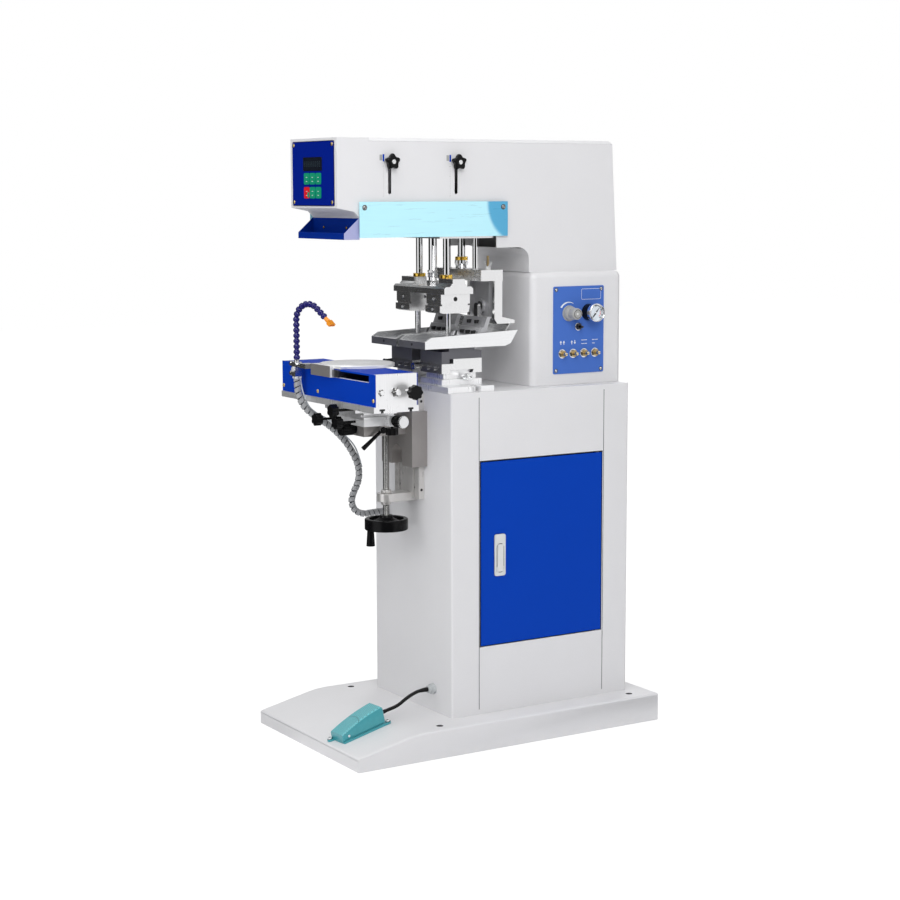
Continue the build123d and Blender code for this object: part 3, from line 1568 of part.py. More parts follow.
def make_shuttle_body():
    # base plate with T-slots, end plates, rails, cylinder and stop screws
    base_top = shuttle_base_bottom + shuttle_base_thick
    front = shuttle_front - shuttle_base_over
    rear = shuttle_rear + shuttle_base_over
    body = block(-shuttle_half, shuttle_half, front, rear, shuttle_base_bottom, base_top)
    middle = (shuttle_front + shuttle_rear) / 2
    for y in (middle - tee_slot_pitch / 2, middle + tee_slot_pitch / 2):
        deep = shuttle_base_bottom + tee_slot_neck_depth
        body -= block(-shuttle_half - overrun, shuttle_half + overrun, y - tee_slot_neck / 2,
                      y + tee_slot_neck / 2, shuttle_base_bottom - overrun, deep)
        body -= block(-shuttle_half - overrun, shuttle_half + overrun, y - tee_slot_head / 2,
                      y + tee_slot_head / 2, deep, deep + tee_slot_head_depth)
    cross_middle = (cross_front + cross_rear) / 2
    rail_low = cross_top + cross_rail_height
    carrier = block(-cross_half, cross_half, cross_front, cross_rear, cross_top + slide_gap,
                    carrier_step)
    carrier += block(-carrier_half, carrier_half, carrier_front, cross_rear, carrier_step,
                     shuttle_base_bottom)
    carrier -= block(cross_half - carrier_slot_depth, cross_half + overrun,
                     cross_front - overrun, cross_rear + overrun, carrier_slot_low,
                     carrier_slot_top)
    carrier -= block(-cross_half - overrun, cross_half + overrun,
                     cross_middle - cross_rail / 2 - slide_gap,
                     cross_middle + cross_rail / 2 + slide_gap,
                     cross_top, rail_low + slide_gap)
    for side in (-1, 1):
        body += block(side * (shuttle_half - shuttle_end), side * shuttle_half,
                      shuttle_front, shuttle_rear, base_top, shuttle_top)
    start = -shuttle_half + shuttle_end
    length = (shuttle_half - shuttle_end) * 2
    for y in (middle - shuttle_rail_offset, middle + shuttle_rail_offset):
        body += rod(start, y, shuttle_rail_z, shuttle_rail_radius, length, (1, 0, 0))
    body += rod(start, middle, shuttle_cylinder_z, shuttle_cylinder_radius, length, (1, 0, 0))
    body -= rod(shuttle_half, shuttle_stop_y, shuttle_stop_z,
                stop_handle_stem_radius + shaft_gap, shuttle_end * 3, (-1, 0, 0))
    body += rod(shuttle_half, shuttle_stop_hole_y, shuttle_stop_z, screw_radius * end_screw_share,
                screw_head * 3, (1, 0, 0))
    body += rod(shuttle_half, jam_y, shuttle_stop_z, stop_handle_stem_radius,
                stop_handle_stem / 2, (1, 0, 0))
    place = Plane(origin=(shuttle_half + stop_handle_stem / 2, jam_y, shuttle_stop_z),
                  z_dir=(1, 0, 0))
    body += place * lobed_disc(jam_radius, jam_lobes, screw_radius / 2, screw_head * 2)
    carrier -= rod(lobe_high_x, carrier_front - overrun, lobe_high_z,
                   lobe_stem_radius + shaft_gap, lobe_seat + overrun, (0, 1, 0))
    return Compound(children=[body, carrier, make_fitting()])


def make_fitting():
    # distributor block with elbows, on a bar against the cover's front
    low = fitting_z - fitting_height / 2
    core = block(fitting_x - fitting_half, fitting_x + fitting_half,
                 fitting_y - fitting_half, fitting_y + fitting_half,
                 low, low + fitting_height)
    core += rod(fitting_x, fitting_y, low + fitting_height, fitting_nut_radius, fitting_nut)
    for z in (low + fitting_elbow_radius, low + fitting_height - fitting_elbow_radius):
        x = fitting_x - fitting_half
        core += rod(x, fitting_y, z, fitting_elbow_radius, fitting_elbow, (-1, 0, 0))
        core += rod(x - fitting_elbow, fitting_y, z, fitting_nut_radius, fitting_nut, (-1, 0, 0))
    z = low + fitting_height - fitting_elbow_radius * fitting_arm_share
    start = fitting_x + fitting_half
    core += rod(start, fitting_y, z, fitting_elbow_radius, fitting_elbow, (1, 0, 0))
    core += rod(start + fitting_elbow / 2, fitting_y, z, fitting_nut_radius, fitting_nut, (1, 0, 0))
    core += block(start + fitting_elbow, table_left - air_gap, fitting_y - fitting_elbow_radius,
                  shuttle_front - shuttle_sheet, z - fitting_elbow_radius,
                  z + fitting_elbow_radius)
    return core


def make_shuttle_cover():
    # blue sheet over the shuttle: open below, with a long slot in front
    base_top = shuttle_base_bottom + shuttle_base_thick
    room = shuttle_half - shuttle_end
    front = shuttle_front
    rear = shuttle_rear
    outer = block(-shuttle_half, shuttle_half, front - shuttle_sheet, rear + shuttle_sheet,
                  base_top, shuttle_top)
    inner = block(-room, room, front, rear, base_top - overrun, shuttle_top - shuttle_sheet)
    cover = outer - inner
    for side in (-1, 1):
        cover -= block(side * room, side * (shuttle_half + overrun), front, rear,
                       base_top - overrun, shuttle_top + overrun)
    cover -= block(shuttle_slot_left, shuttle_slot_right, front - shuttle_sheet - overrun,
                   front + overrun, shuttle_slot_low, shuttle_slot_top)
    for x in cover_screw_x:
        cover += rod(x, front - shuttle_sheet, cover_screw_z, screw_radius, screw_head / 2,
                     (0, -1, 0))
    return cover


def make_table():
    # carriage on the shuttle rails, tongue through the slot, skirt, plate and disc
    middle = (shuttle_front + shuttle_rear) / 2
    half = shuttle_rail_offset + shuttle_rail_radius * rail_bush_share
    low = shuttle_rail_z - shuttle_rail_radius * rail_bush_share
    body = block(table_left, table_right, middle - half, middle + half, low, table_tongue_top)
    for y in (middle - shuttle_rail_offset, middle + shuttle_rail_offset):
        body -= rod(table_left - overrun, y, shuttle_rail_z, shuttle_rail_radius + shaft_gap,
                    table_right - table_left + overrun * 2, (1, 0, 0))
    face = shuttle_front - shuttle_sheet - air_gap
    body += block(table_left, table_right, face, middle, table_tongue_low, table_tongue_top)
    body += block(table_left, table_skirt_right, face - table_skirt_thick, face,
                  table_skirt_z, table_top_z)
    body += block(table_skirt_right, table_right, face - table_skirt_thick / 2, face,
                  table_dark_low, table_dark_top)
    plate_low = shuttle_top + air_gap
    body += block(table_left, table_right, face, table_plate_rear, plate_low, table_top_z)
    disc = rod(disc_x, disc_y, plate_low, disc_radius, table_top_z + screw_head - plate_low)
    rim = edges_at(disc, lambda c: c.Z > table_top_z)
    body += chamfer(rim, disc_bevel)
    return body


def make_shuttle_stop():
    x = shuttle_half
    stem = rod(x - shuttle_end, shuttle_stop_y, shuttle_stop_z, stop_handle_stem_radius,
               shuttle_end + stop_handle_stem, (1, 0, 0))
    place = Plane(origin=(x + stop_handle_stem, shuttle_stop_y, shuttle_stop_z),
                  z_dir=(1, 0, 0))
    return stem + place * lobed_disc(stop_handle_radius, stop_handle_lobes, stop_handle_lobe,
                                     stop_handle_thick)


def hose_span():
    return hose_rise + hose_bend * math.radians(hose_turn) + hose_run


def hose_place(length):
    # the hose rises, bends over and comes down straight towards the table
    turned = min(max(length - hose_rise, 0) / hose_bend, math.radians(hose_turn))
    rise = min(length, hose_rise)
    run = max(length - hose_rise - hose_bend * math.radians(hose_turn), 0)
    out = hose_bend * (1 - math.cos(turned)) + run * math.sin(turned)
    up = rise + hose_bend * math.sin(turned) + run * math.cos(turned)
    aim = math.radians(hose_aim)
    origin = Vector(fitting_x + out * math.cos(aim), fitting_y + out * math.sin(aim),
                    fitting_z + fitting_height / 2 + fitting_nut + up)
    along = Vector(math.sin(turned) * math.cos(aim), math.sin(turned) * math.sin(aim),
                   math.cos(turned))
    side = Vector(-math.sin(aim), math.cos(aim), 0)
    return Plane(origin=origin, x_dir=side, z_dir=along)


def make_hose():
    circles = []
    link_length = hose_span() / hose_links
    for link in range(hose_links):
        for share, radius in zip(link_place_shares, (hose_waist_radius, hose_ball_radius,
                                                     hose_ball_radius, hose_waist_radius)):
            circles.append(hose_place((link + share) * link_length) * Circle(radius))
    end = hose_place(hose_span())
    circles.append(end * Circle(hose_waist_radius))
    body = loft(circles, ruled=True)
    neck = end * Cone(hose_waist_radius, nozzle_throat_radius, nozzle_length / 2,
                      align=(Align.CENTER, Align.CENTER, Align.MIN))
    back = end.offset(nozzle_length / 2)
    front = end.offset(nozzle_length)
    mouth = loft([back * Rectangle(nozzle_throat_radius * 2, nozzle_throat_radius * 2),
                  front * Rectangle(nozzle_width, nozzle_thick)])
    slit = loft([back * Rectangle(hose_bore_radius * 2, hose_bore_radius * 2),
                 front.offset(near) * Rectangle(nozzle_width - nozzle_thick / 2, nozzle_thick / 2)])
    start = hose_place(0).origin
    top = hose_place(hose_rise).origin
    over = hose_place(hose_rise + hose_bend * math.radians(hose_turn) / 2).origin
    down = hose_place(hose_rise + hose_bend * math.radians(hose_turn)).origin
    path = Line(start, top) + ThreePointArc(top, over, down) + Line(down, back.origin)
    bore = sweep(hose_place(0) * Circle(hose_bore_radius), path=path)
    return body + neck + mouth - slit - bore


def cord_tube(points, diameter, label):
    # straight runs joined by arcs as large as the shorter run allows
    corners = [Vector(*point) for point in points]
    radii = []
    for index in range(1, len(corners) - 1):
        before = corners[index] - corners[index - 1]
        after = corners[index + 1] - corners[index]
        turn = math.radians(before.get_angle(after))
        radii.append(corner_share * min(before.length, after.length) / math.tan(turn / 2))
    path = FilletPolyline(*corners, radius=radii)
    start = Plane(origin=path @ 0, z_dir=path % 0)
    solid = sweep(start * Circle(diameter / 2), path=path)
    expected = math.pi * diameter ** 2 / 4 * path.length
    print(label, "radii", [round(radius, 1) for radius in radii], "length", round(path.length, 1),
          "volume share", round(solid.volume / expected, 4))
    return solid


def bundle_route():
    # the bends lie off the upper end by shares of the drop to the outlet
    low = fitting_z - fitting_height / 2
    drop = low - bundle_outlet_z
    upper = (fitting_x, fitting_y, low)
    between = [(fitting_x + side * drop, fitting_y + back * drop, low + rise * drop)
               for side, back, rise in bundle_bend_shares]
    return [upper, *between,
            (bundle_outlet_x, column_front - bundle_outlet, bundle_outlet_z)]


def make_bundle():
    return cord_tube(bundle_route(), bundle_diameter, "bundle")


def foot_frame():
    # origin on the ramp under the switch, X across it and Y towards its rear
    slope = math.atan2(base_height - base_nose, base_ramp)
    turn = Rot(0, 0, foot_turn)
    tilt = Rot(math.degrees(slope), 0, 0)
    return Pos(foot_x, foot_y, ramp_height(foot_y)) * tilt * turn


def foot_pivot():
    return -foot_length / 2 + foot_pivot_inset


def make_foot_base():
    # flange on the ramp, switch body inside the pedal, pivot pin and outlet
    half = foot_width / 2 + foot_flange
    long = foot_length / 2
    base = block(-half, half, -long, long, 0, foot_flange_thick)
    base = fillet(base.edges().filter_by(Axis.Z), foot_lug_radius / 2)
    for side in (-1, 1):
        x = side * (half - foot_lug_radius)
        y = side * (long + foot_lug_radius)
        base += block(x - foot_lug_radius, x + foot_lug_radius, side * (long - foot_flange_thick), y,
                      0, foot_flange_thick)
        base += rod(x, y, 0, foot_lug_radius, foot_flange_thick)
        base += rod(x, y, foot_flange_thick, screw_radius, screw_head)
    core_rear = long - foot_wall * 3
    base += block(-foot_core_half, foot_core_half, foot_core_front, core_rear,
                  foot_flange_thick, foot_core_height)
    y = foot_pivot()
    base += block(-foot_core_half, foot_core_half, y - foot_pivot_radius * 2,
                  y + foot_pivot_radius * 2, foot_flange_thick, foot_pivot_z + foot_pivot_radius * 2)
    base += rod(-foot_width / 2 - screw_head / 2, y, foot_pivot_z, foot_pivot_radius,
                foot_width + screw_head, (1, 0, 0))
    base += rod(0, core_rear - foot_outlet_radius, foot_outlet_z, foot_outlet_radius,
                long + screw_head - core_rear + foot_outlet_radius, (0, 1, 0))
    return foot_frame() * base


def pedal_solid(inset, low):
    # the pedal's outer form moved in by an inset, from a low line upwards
    half = foot_width / 2 - inset
    long = foot_length / 2 - inset
    nose = (-long, foot_front_height - inset)
    hump = (-long / 5, foot_middle_height - inset)
    crown = (long - foot_wall * 2, foot_rear_height - inset)
    heel = (long, foot_rear_height - foot_wall * 2 - inset)
    outline = Polyline(crown, heel, (long, low), (-long, foot_flange_thick + air_gap), nose)
    face = make_face(outline + ThreePointArc(nose, hump, crown))
    return extrude(Plane.YZ.offset(-half) * face, amount=half * 2)


def make_foot_pedal():
    shell = pedal_solid(0, foot_flange_thick + foot_gap)
    sides = edges_at(shell, lambda c: abs(abs(c.X) - foot_width / 2) < near
                     and c.Z > foot_front_height)
    shell = chamfer(sides, foot_wall)
    room = pedal_solid(foot_wall, foot_flange_thick)
    room += block(-foot_width / 2 + foot_wall, foot_width / 2 - foot_wall,
                  -foot_length / 2 + foot_wall, foot_length / 2 - foot_wall,
                  foot_flange_thick - overrun, foot_flange_thick + foot_gap)
    shell -= room
    shell -= block(-foot_outlet_radius - foot_gap / 2, foot_outlet_radius + foot_gap / 2,
                   foot_length / 2 - foot_wall * 2, foot_length / 2 + overrun, 0,
                   foot_outlet_z + foot_outlet_radius + foot_gap * 2)
    shell -= rod(-foot_width, foot_pivot(), foot_pivot_z, foot_pivot_radius + shaft_gap,
                 foot_width * 2, (1, 0, 0))
    return foot_frame() * shell


def foot_outlet():
    # the cable's first point and the direction in which it leaves
    start = (foot_frame() * Pos(0, foot_length / 2 + screw_head, foot_outlet_z)).position
    ahead = (foot_frame() * Pos(0, foot_length, foot_outlet_z)).position
    return start, (ahead - start).normalized()


def cable_route():
    # straight out of both ends; between them the bends say where along the
    # way, how far to +X and how far up each point lies off the straight line,
    # all as shares of its length
    start, along = foot_outlet()
    first = start + along * cable_diameter * cable_straight_share
    end = Vector(gland_x, column_front - gland_length - gland_nose, gland_z)
    last = end - Vector(0, cable_diameter * cable_straight_share, 0)
    run = (last - first).length
    between = [first + (last - first) * share + Vector(side * run, 0, lift * run)
               for share, side, lift in cable_bend_shares]
    return [(point.X, point.Y, point.Z) for point in [start, first, *between, last, end]]


def make_cable():
    return cord_tube(cable_route(), cable_diameter, "cable")


def build_nodes():
    nodes = {
        "base": make_base(),
        "column": make_column(),
        "cabinet_door": make_door(),
        "door_lever": make_lock_lever(),
        "rear_housing": make_housing(),
        "air_panel": make_air_panel(),
        "regulator_knob": make_regulator_knob(),
        "pressure_gauge": make_gauge(),
        "gauge_needle": make_gauge_needle(),
        "toggle_lever": make_toggle(),
        "head_housing": Compound(children=[make_head(), make_cover()]),
        "control_panel": make_control_panel(),
        "tool_tray": make_tool_tray(),
        "guard_plates": make_guards(),
        "carriage_rails": make_rails(),
        "print_carriage": make_carriage(),
        "stop_knob_front": make_stop_knob(stop_front_y),
        "stop_knob_rear": make_stop_knob(stop_rear_y),
        "pad_beam": make_pad_beam(),
        "pad_rods": make_pad_rods(),
        "blade_beam": make_blade_beam(),
        "blade_rods": make_blade_rods(),
        "tray_base": make_tray_base(),
        "vertical_guide": make_guide(),
        "table_saddle": make_saddle(),
        "lead_screw": make_lead_screw(),
        "handwheel": make_handwheel(),
        "clamp_lever": make_clamp_lever(),
        "cross_slide": make_cross_slide(),
        "feed_knob_x": make_feed_knob_x(),
        "feed_knob_y": make_feed_knob_y(),
        "clamp_knob_left": make_front_clamp(lobe_left_x, cross_front, lobe_left_z, lobe_left_stem),
        "clamp_knob_low": make_front_clamp(lobe_low_x, cross_front, lobe_low_z, lobe_low_stem),
        "clamp_knob_high": make_front_clamp(lobe_high_x, carrier_front, lobe_high_z,
                                            lobe_high_stem),
        "clamp_knob_under": make_under_clamp(),
        "shuttle_body": make_shuttle_body(),
        "shuttle_cover": make_shuttle_cover(),
        "work_table": make_table(),
        "shuttle_stop_knob": make_shuttle_stop(),
        "air_hose": make_hose(),
        "tube_bundle": make_bundle(),
        "foot_switch_base": make_foot_base(),
        "foot_pedal": make_foot_pedal(),
        "foot_cable": make_cable(),
    }
    for step in range(valve_count):
        nodes["flow_valve_" + str(step + 1)] = make_valve_knob(step)
    for side, name in ((-1, "left"), (1, "right")):
        nodes["pad_holder_" + name] = make_pad_holder(side)
        nodes["doctor_blade_" + name] = make_doctor(side)
        nodes["ink_tray_" + name] = make_ink_tray(side)
        nodes["tray_stage_" + name] = make_stage_slide(side)
        nodes["stage_side_knob_" + name] = make_side_knob(side)
        nodes["stage_front_knob_" + name] = make_front_knob(side)
    return nodes


os.makedirs("parts", exist_ok=True)
for node_name, shape in build_nodes().items():
    export_step(shape, "parts/" + node_name + ".step")
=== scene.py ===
import math

import bmesh
import bpy
import numpy as np
from mathutils import Matrix, Vector
from numpy import hypot


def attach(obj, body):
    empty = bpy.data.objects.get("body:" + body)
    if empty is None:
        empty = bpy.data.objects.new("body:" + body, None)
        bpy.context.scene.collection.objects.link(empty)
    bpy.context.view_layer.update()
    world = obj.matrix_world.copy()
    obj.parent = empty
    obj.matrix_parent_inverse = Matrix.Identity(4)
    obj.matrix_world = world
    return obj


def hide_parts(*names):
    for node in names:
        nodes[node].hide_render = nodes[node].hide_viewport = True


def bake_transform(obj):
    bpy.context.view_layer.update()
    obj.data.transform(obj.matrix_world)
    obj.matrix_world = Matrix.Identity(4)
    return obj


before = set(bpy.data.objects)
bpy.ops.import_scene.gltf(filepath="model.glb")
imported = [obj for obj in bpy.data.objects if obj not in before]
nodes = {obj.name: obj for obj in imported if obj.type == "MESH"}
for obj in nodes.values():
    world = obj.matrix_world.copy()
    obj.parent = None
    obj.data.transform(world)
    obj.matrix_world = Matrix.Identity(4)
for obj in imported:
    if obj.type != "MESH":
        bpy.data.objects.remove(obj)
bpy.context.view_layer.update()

# Pad printing machine. Shapes below are written in millimetres and put into
# the meshes in metres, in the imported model's own frame: front is -Y, +X is the
# side with the cabinet door.
millimetre = 0.001
toRight, toLeft, toFront, toTop = (1, 0, 0), (-1, 0, 0), (0, -1, 0), (0, 0, 1)
scene = bpy.context.scene
print("frame loaded,", len(nodes), "nodes")


# camera and studio

camera = {"place": (3.96413, -2.47371, 1.29937), "azimuth": 58.3225, "pitch": -7.5572,
          "roll": -0.1294, "lens": 77.345, "sensor": 36.0}


def aimCamera(settings):
    # angles in degrees: azimuth turns from +y to the left, pitch is up, roll is clockwise
    turn, tilt, roll = (math.radians(settings[key]) for key in ("azimuth", "pitch", "roll"))
    ahead = Vector((-math.sin(turn) * math.cos(tilt), math.cos(turn) * math.cos(tilt),
                    math.sin(tilt)))
    right = ahead.cross(Vector((0, 0, 1))).normalized()
    up = right.cross(ahead)
    right, up = (right * math.cos(roll) + up * math.sin(roll),
                 up * math.cos(roll) - right * math.sin(roll))
    data = bpy.data.cameras.new("studioCamera")
    data.lens = settings["lens"]
    data.sensor_width = settings["sensor"]
    data.clip_end = 100
    eye = bpy.data.objects.new("studioCamera", data)
    scene.collection.objects.link(eye)
    columns = Matrix((right, up, -ahead)).transposed().to_4x4()
    columns.translation = settings["place"]
    eye.matrix_world = columns
    scene.camera = eye


# name: place, aim, size in metres, power in watts, and whether mirrors show it
lamps = {"keyLamp": ((2.6, -1.1, 2.4), (0, -0.1, 1.2), 1.6, 37, True),
         "fillLamp": ((-0.6, -4.2, 2.4), (0, 0, 0.9), 2.0, 23, True),
         "rearLamp": ((-2.6, 2.4, 3.0), (0, 0, 1.0), 2.0, 30, True),
         "lowLamp": ((3.2, -3.2, 0.9), (0, -0.1, 0.5), 1.4, 4, False),
         "topLamp": ((0.5, -1.1, 3.6), (0.1, -0.2, 0.1), 2.0, 26, True)}


def hangLamps(settings):
    for name, (place, aim, size, power, mirrored) in settings.items():
        data = bpy.data.lights.new(name, "AREA")
        data.shape = "DISK"
        data.size = size
        data.energy = power
        holder = bpy.data.objects.new(name, data)
        holder.location = place
        ahead = Vector(aim) - Vector(place)
        holder.rotation_euler = ahead.to_track_quat("-Z", "Y").to_euler()
        holder.visible_glossy = mirrored
        scene.collection.objects.link(holder)


class Wire:
    # one value inside a material; arithmetic on it adds the Math nodes
    def __init__(self, shade, socket):
        self.shade = shade
        self.socket = socket

    def maths(self, operation, *others):
        return self.shade.add("ShaderNodeMath", {"operation": operation}, [self, *others])

    def __add__(self, other):
        return self.maths("ADD", other)

    def __sub__(self, other):
        return self.maths("SUBTRACT", other)

    def __rsub__(self, other):
        return self.shade.add("ShaderNodeMath", {"operation": "SUBTRACT"}, [other, self])

    def __mul__(self, other):
        return self.maths("MULTIPLY", other)

    def size(self):
        return self.maths("ABSOLUTE")

    def below(self, level):
        return self.maths("LESS_THAN", level)

    def step(self, start, end, low=0.0, high=1.0):
        # smooth change from low to high while the value goes from start to end
        return self.shade.add("ShaderNodeMapRange", {"interpolation_type": "SMOOTHSTEP"},
                              [self, start, end, low, high])


class Shade:
    # a material or world with its nodes
    def __init__(self, name, owner=None):
        self.material = owner or bpy.data.materials.new(name)
        self.material.use_nodes = True
        self.tree = self.material.node_tree
        self.surface = self.tree.nodes.get("Principled BSDF")
        self.made = {}

    def add(self, kind, settings=None, values=(), out=0):
        node = self.tree.nodes.new(kind)
        for key, value in (settings or {}).items():
            if key == "stops":
                ramp = node.color_ramp
                while len(ramp.elements) < len(value):
                    ramp.elements.new(0.5)
                for element, (spot, tint) in zip(ramp.elements, value):
                    element.position = spot
                    element.color = (*tint, 1)
            else:
                setattr(node, key, value)
        pairs = values.items() if isinstance(values, dict) else enumerate(values)
        for key, value in pairs:
            self.put(node.inputs[key], value)
        return Wire(self, node.outputs[out])

    def put(self, socket, value):
        if isinstance(value, Wire):
            self.tree.links.new(value.socket, socket)
        elif socket.type == "RGBA" and len(value) == 3:
            socket.default_value = (*value, 1)
        else:
            socket.default_value = value

    def place(self):
        if "place" not in self.made:
            self.made["place"] = self.add("ShaderNodeTexCoord", out="Object")
        return self.made["place"]

    def along(self, axis):
        if "axes" not in self.made:
            split = self.tree.nodes.new("ShaderNodeSeparateXYZ")
            self.put(split.inputs[0], self.place())
            self.made["axes"] = split
        return Wire(self, self.made["axes"].outputs["XYZ".index(axis)])

    def stretched(self, amounts):
        return self.add("ShaderNodeVectorMath", {"operation": "MULTIPLY"},
                        [self.place(), amounts])

    def noise(self, scale, detail=2.0, rough=0.5, spot=None):
        return self.add("ShaderNodeTexNoise", {},
                        {"Vector": spot or self.place(), "Scale": scale, "Detail": detail,
                         "Roughness": rough})

    def cells(self, scale):
        return self.add("ShaderNodeTexVoronoi", {}, {"Vector": self.place(), "Scale": scale})

    def mix(self, share, first, second):
        return self.add("ShaderNodeMix", {"data_type": "RGBA"}, {0: share, 6: first, 7: second},
                        out=2)

    def tone(self, tint, amount):
        # a colour made lighter or darker by a value near 1
        return self.add("ShaderNodeVectorMath", {"operation": "SCALE"},
                        {0: tint, "Scale": amount})

    def bump(self, height, strength, distance):
        return self.add("ShaderNodeBump", {}, {"Strength": strength, "Distance": distance,
                                               "Height": height})

    def finish(self, **sockets):
        for key, value in sockets.items():
            name = {"tint": "Base Color", "rough": "Roughness", "metal": "Metallic",
                    "coat": "Coat Weight", "coatRough": "Coat Roughness", "normal": "Normal",
                    "glow": "Emission Color", "glowPower": "Emission Strength",
                    "alpha": "Alpha", "gloss": "Specular IOR Level", "ior": "IOR",
                    "clear": "Transmission Weight"}[key]
            self.put(self.surface.inputs[name], value)
        return self.material


# what mirrors see round the object: share of the full circle from -X, and a grey
studioRing = [(0.0, 0.03), (0.045, 0.05), (0.115, 0.05), (0.125, 0.01), (0.205, 0.01),
              (0.222, 0.95), (0.325, 1.0), (0.34, 0.01), (0.510, 0.01), (0.530, 0.95), (0.66, 1.0),
              (0.69, 0.1), (0.70, 0.02), (0.80, 0.02), (0.835, 0.55), (0.90, 0.6), (0.95, 0.3),
              (1.0, 0.03)]


def ringTone(shade, side, across):
    # the tone at the angle whose tangent is across / side
    turn = across.maths("ARCTAN2", side) * (0.5 / math.pi) + 0.5
    return shade.add("ShaderNodeValToRGB", {"stops": [(spot, (tone, tone, tone * 1.01))
                                                      for spot, tone in studioRing]}, [turn])


def rays(shade):
    # 1 for what the camera sees, straight or through glass, and 1 for what mirrors see
    path = shade.tree.nodes.new("ShaderNodeLightPath")
    seen, through, mirrored = (Wire(shade, path.outputs["Is %s Ray" % kind])
                               for kind in ("Camera", "Transmission", "Glossy"))
    return (seen + through).maths("MINIMUM", 1.0), mirrored


floorSettings = {"tint": (0.93, 0.93, 0.94), "glow": 1.12, "share": 0.86, "reach": 14.0}


def layFloor(size):
    # pale floor that shows nearly white to the camera and keeps a soft shadow
    shade = Shade("paleFloor")
    seen, mirrored = rays(shade)
    grain = shade.noise(3.0, 3.0)
    shade.finish(tint=shade.tone(size["tint"], grain * 0.02 + 0.99), rough=0.6)
    # mirrors take the ring's tone from the floor, which they see at a flat angle
    ring = ringTone(shade, shade.along("X"), shade.along("Y"))
    glow = shade.add("ShaderNodeEmission", {}, {
        "Color": shade.mix(mirrored, (1.0, 1.0, 1.0), ring), "Strength": size["glow"]})
    share = (seen * size["share"] + mirrored).maths("MINIMUM", 1.0)
    both = shade.add("ShaderNodeMixShader", {},
                     [share, Wire(shade, shade.surface.outputs[0]), glow])
    shade.put(shade.tree.nodes["Material Output"].inputs["Surface"], both)
    reach = size["reach"]
    mesh = bpy.data.meshes.new("studioFloor")
    mesh.from_pydata([(-reach, -reach, 0), (reach, -reach, 0), (reach, reach, 0),
                      (-reach, reach, 0)], [], [(0, 1, 2, 3)])
    mesh.materials.append(shade.material)
    floor = bpy.data.objects.new("studioFloor", mesh)
    scene.collection.objects.link(floor)


def lightWorld():
    # white to the camera and to mirrors, a plain pale grey as light
    world = bpy.data.worlds.new("studioWorld")
    scene.world = world
    shade = Shade("studioWorld", world)
    back = shade.tree.nodes["Background"]
    seen, mirrored = rays(shade)
    way = shade.add("ShaderNodeTexCoord", out="Generated")
    split = shade.tree.nodes.new("ShaderNodeSeparateXYZ")
    shade.put(split.inputs[0], way)
    side, across, height = (Wire(shade, split.outputs[axis]) for axis in range(3))
    # mirrors see dark and pale panels round the object and a pale ceiling
    ring = shade.mix(height.step(0.35, 0.8), ringTone(shade, side, across), (0.85, 0.86, 0.87))
    plain = shade.mix(mirrored, (0.47, 0.475, 0.48), ring)
    shade.put(back.inputs["Color"], shade.mix(seen, plain, (1.0, 1.0, 1.0)))
    back.inputs["Strength"].default_value = 1.0


scene.view_settings.view_transform = "Standard"
aimCamera(camera)
hangLamps(lamps)
layFloor(floorSettings)
lightWorld()
print("camera, lamps and floor set")


# finishes

def powderCoat(name, tint, speckle=0.05, relief=0.35, rough=0.42, coat=0.0, gloss=0.35):
    # sprayed powder: tone = colour x (1 + speckle x grain + 5 % of a slow cloud), and the
    # height is the same grain of about 1 mm, which also dulls the high spots
    shade = Shade(name)
    grain = shade.noise(780.0, 3.0, 0.62)
    cloud = shade.noise(7.0, 3.0)
    amount = cloud * 0.05 + grain * speckle + (0.975 - speckle / 2)
    normal = shade.bump(grain, relief, 0.0003)
    return shade.finish(tint=shade.tone(tint, amount), rough=grain * 0.16 + (rough - 0.08),
                        normal=normal, coat=coat, coatRough=0.15, gloss=gloss)


def milled(name, tint, grainAxis="X", rough=0.3, relief=0.25, stain=0.12, metal=1.0):
    # machined metal: height = noise drawn out along one axis - 0.3 x tiny pits; the tone and
    # the roughness follow the lines and a slow cloud
    shade = Shade(name)
    stretch = {"X": (12.0, 900.0, 900.0), "Y": (900.0, 12.0, 900.0),
               "Z": (900.0, 900.0, 12.0)}[grainAxis]
    lines = shade.noise(1.0, 3.0, 0.65, shade.stretched(stretch))
    cloud = shade.noise(16.0, 4.0, 0.6)
    pits = shade.cells(260.0).below(0.09)
    amount = lines * 0.16 + cloud * stain + (0.92 - stain / 2) - pits * 0.12
    normal = shade.bump(lines - pits * 0.3, relief, 0.00008)
    return shade.finish(tint=shade.tone(tint, amount), metal=metal,
                        rough=lines * 0.14 + cloud * 0.16 + (rough - 0.15), normal=normal)


def turnedMetal(name, tint, rough=0.22, relief=0.2, spread=0.14):
    # lathe work or plating: height = very fine noise, tone and roughness = a soft cloud
    shade = Shade(name)
    cloud = shade.noise(60.0, 3.0, 0.6)
    fine = shade.noise(1500.0, 2.0)
    normal = shade.bump(fine, relief, 0.00004)
    return shade.finish(tint=shade.tone(tint, cloud * 0.14 + 0.93), metal=1.0,
                        rough=cloud * spread + (rough - spread / 2), normal=normal)


def moulded(name, tint, rough=0.35, relief=0.15, coat=0.0, metal=0.0, gloss=0.4):
    # moulded plastic or rubber: height = fine noise, roughness = cloud + a little of it
    shade = Shade(name)
    cloud = shade.noise(45.0, 3.0)
    fine = shade.noise(1100.0, 2.0, 0.6)
    normal = shade.bump(fine, relief, 0.0001)
    return shade.finish(tint=shade.tone(tint, cloud * 0.2 + 0.9), metal=metal,
                        rough=cloud * 0.14 + fine * 0.08 + (rough - 0.11), normal=normal,
                        coat=coat, coatRough=0.1, gloss=gloss)


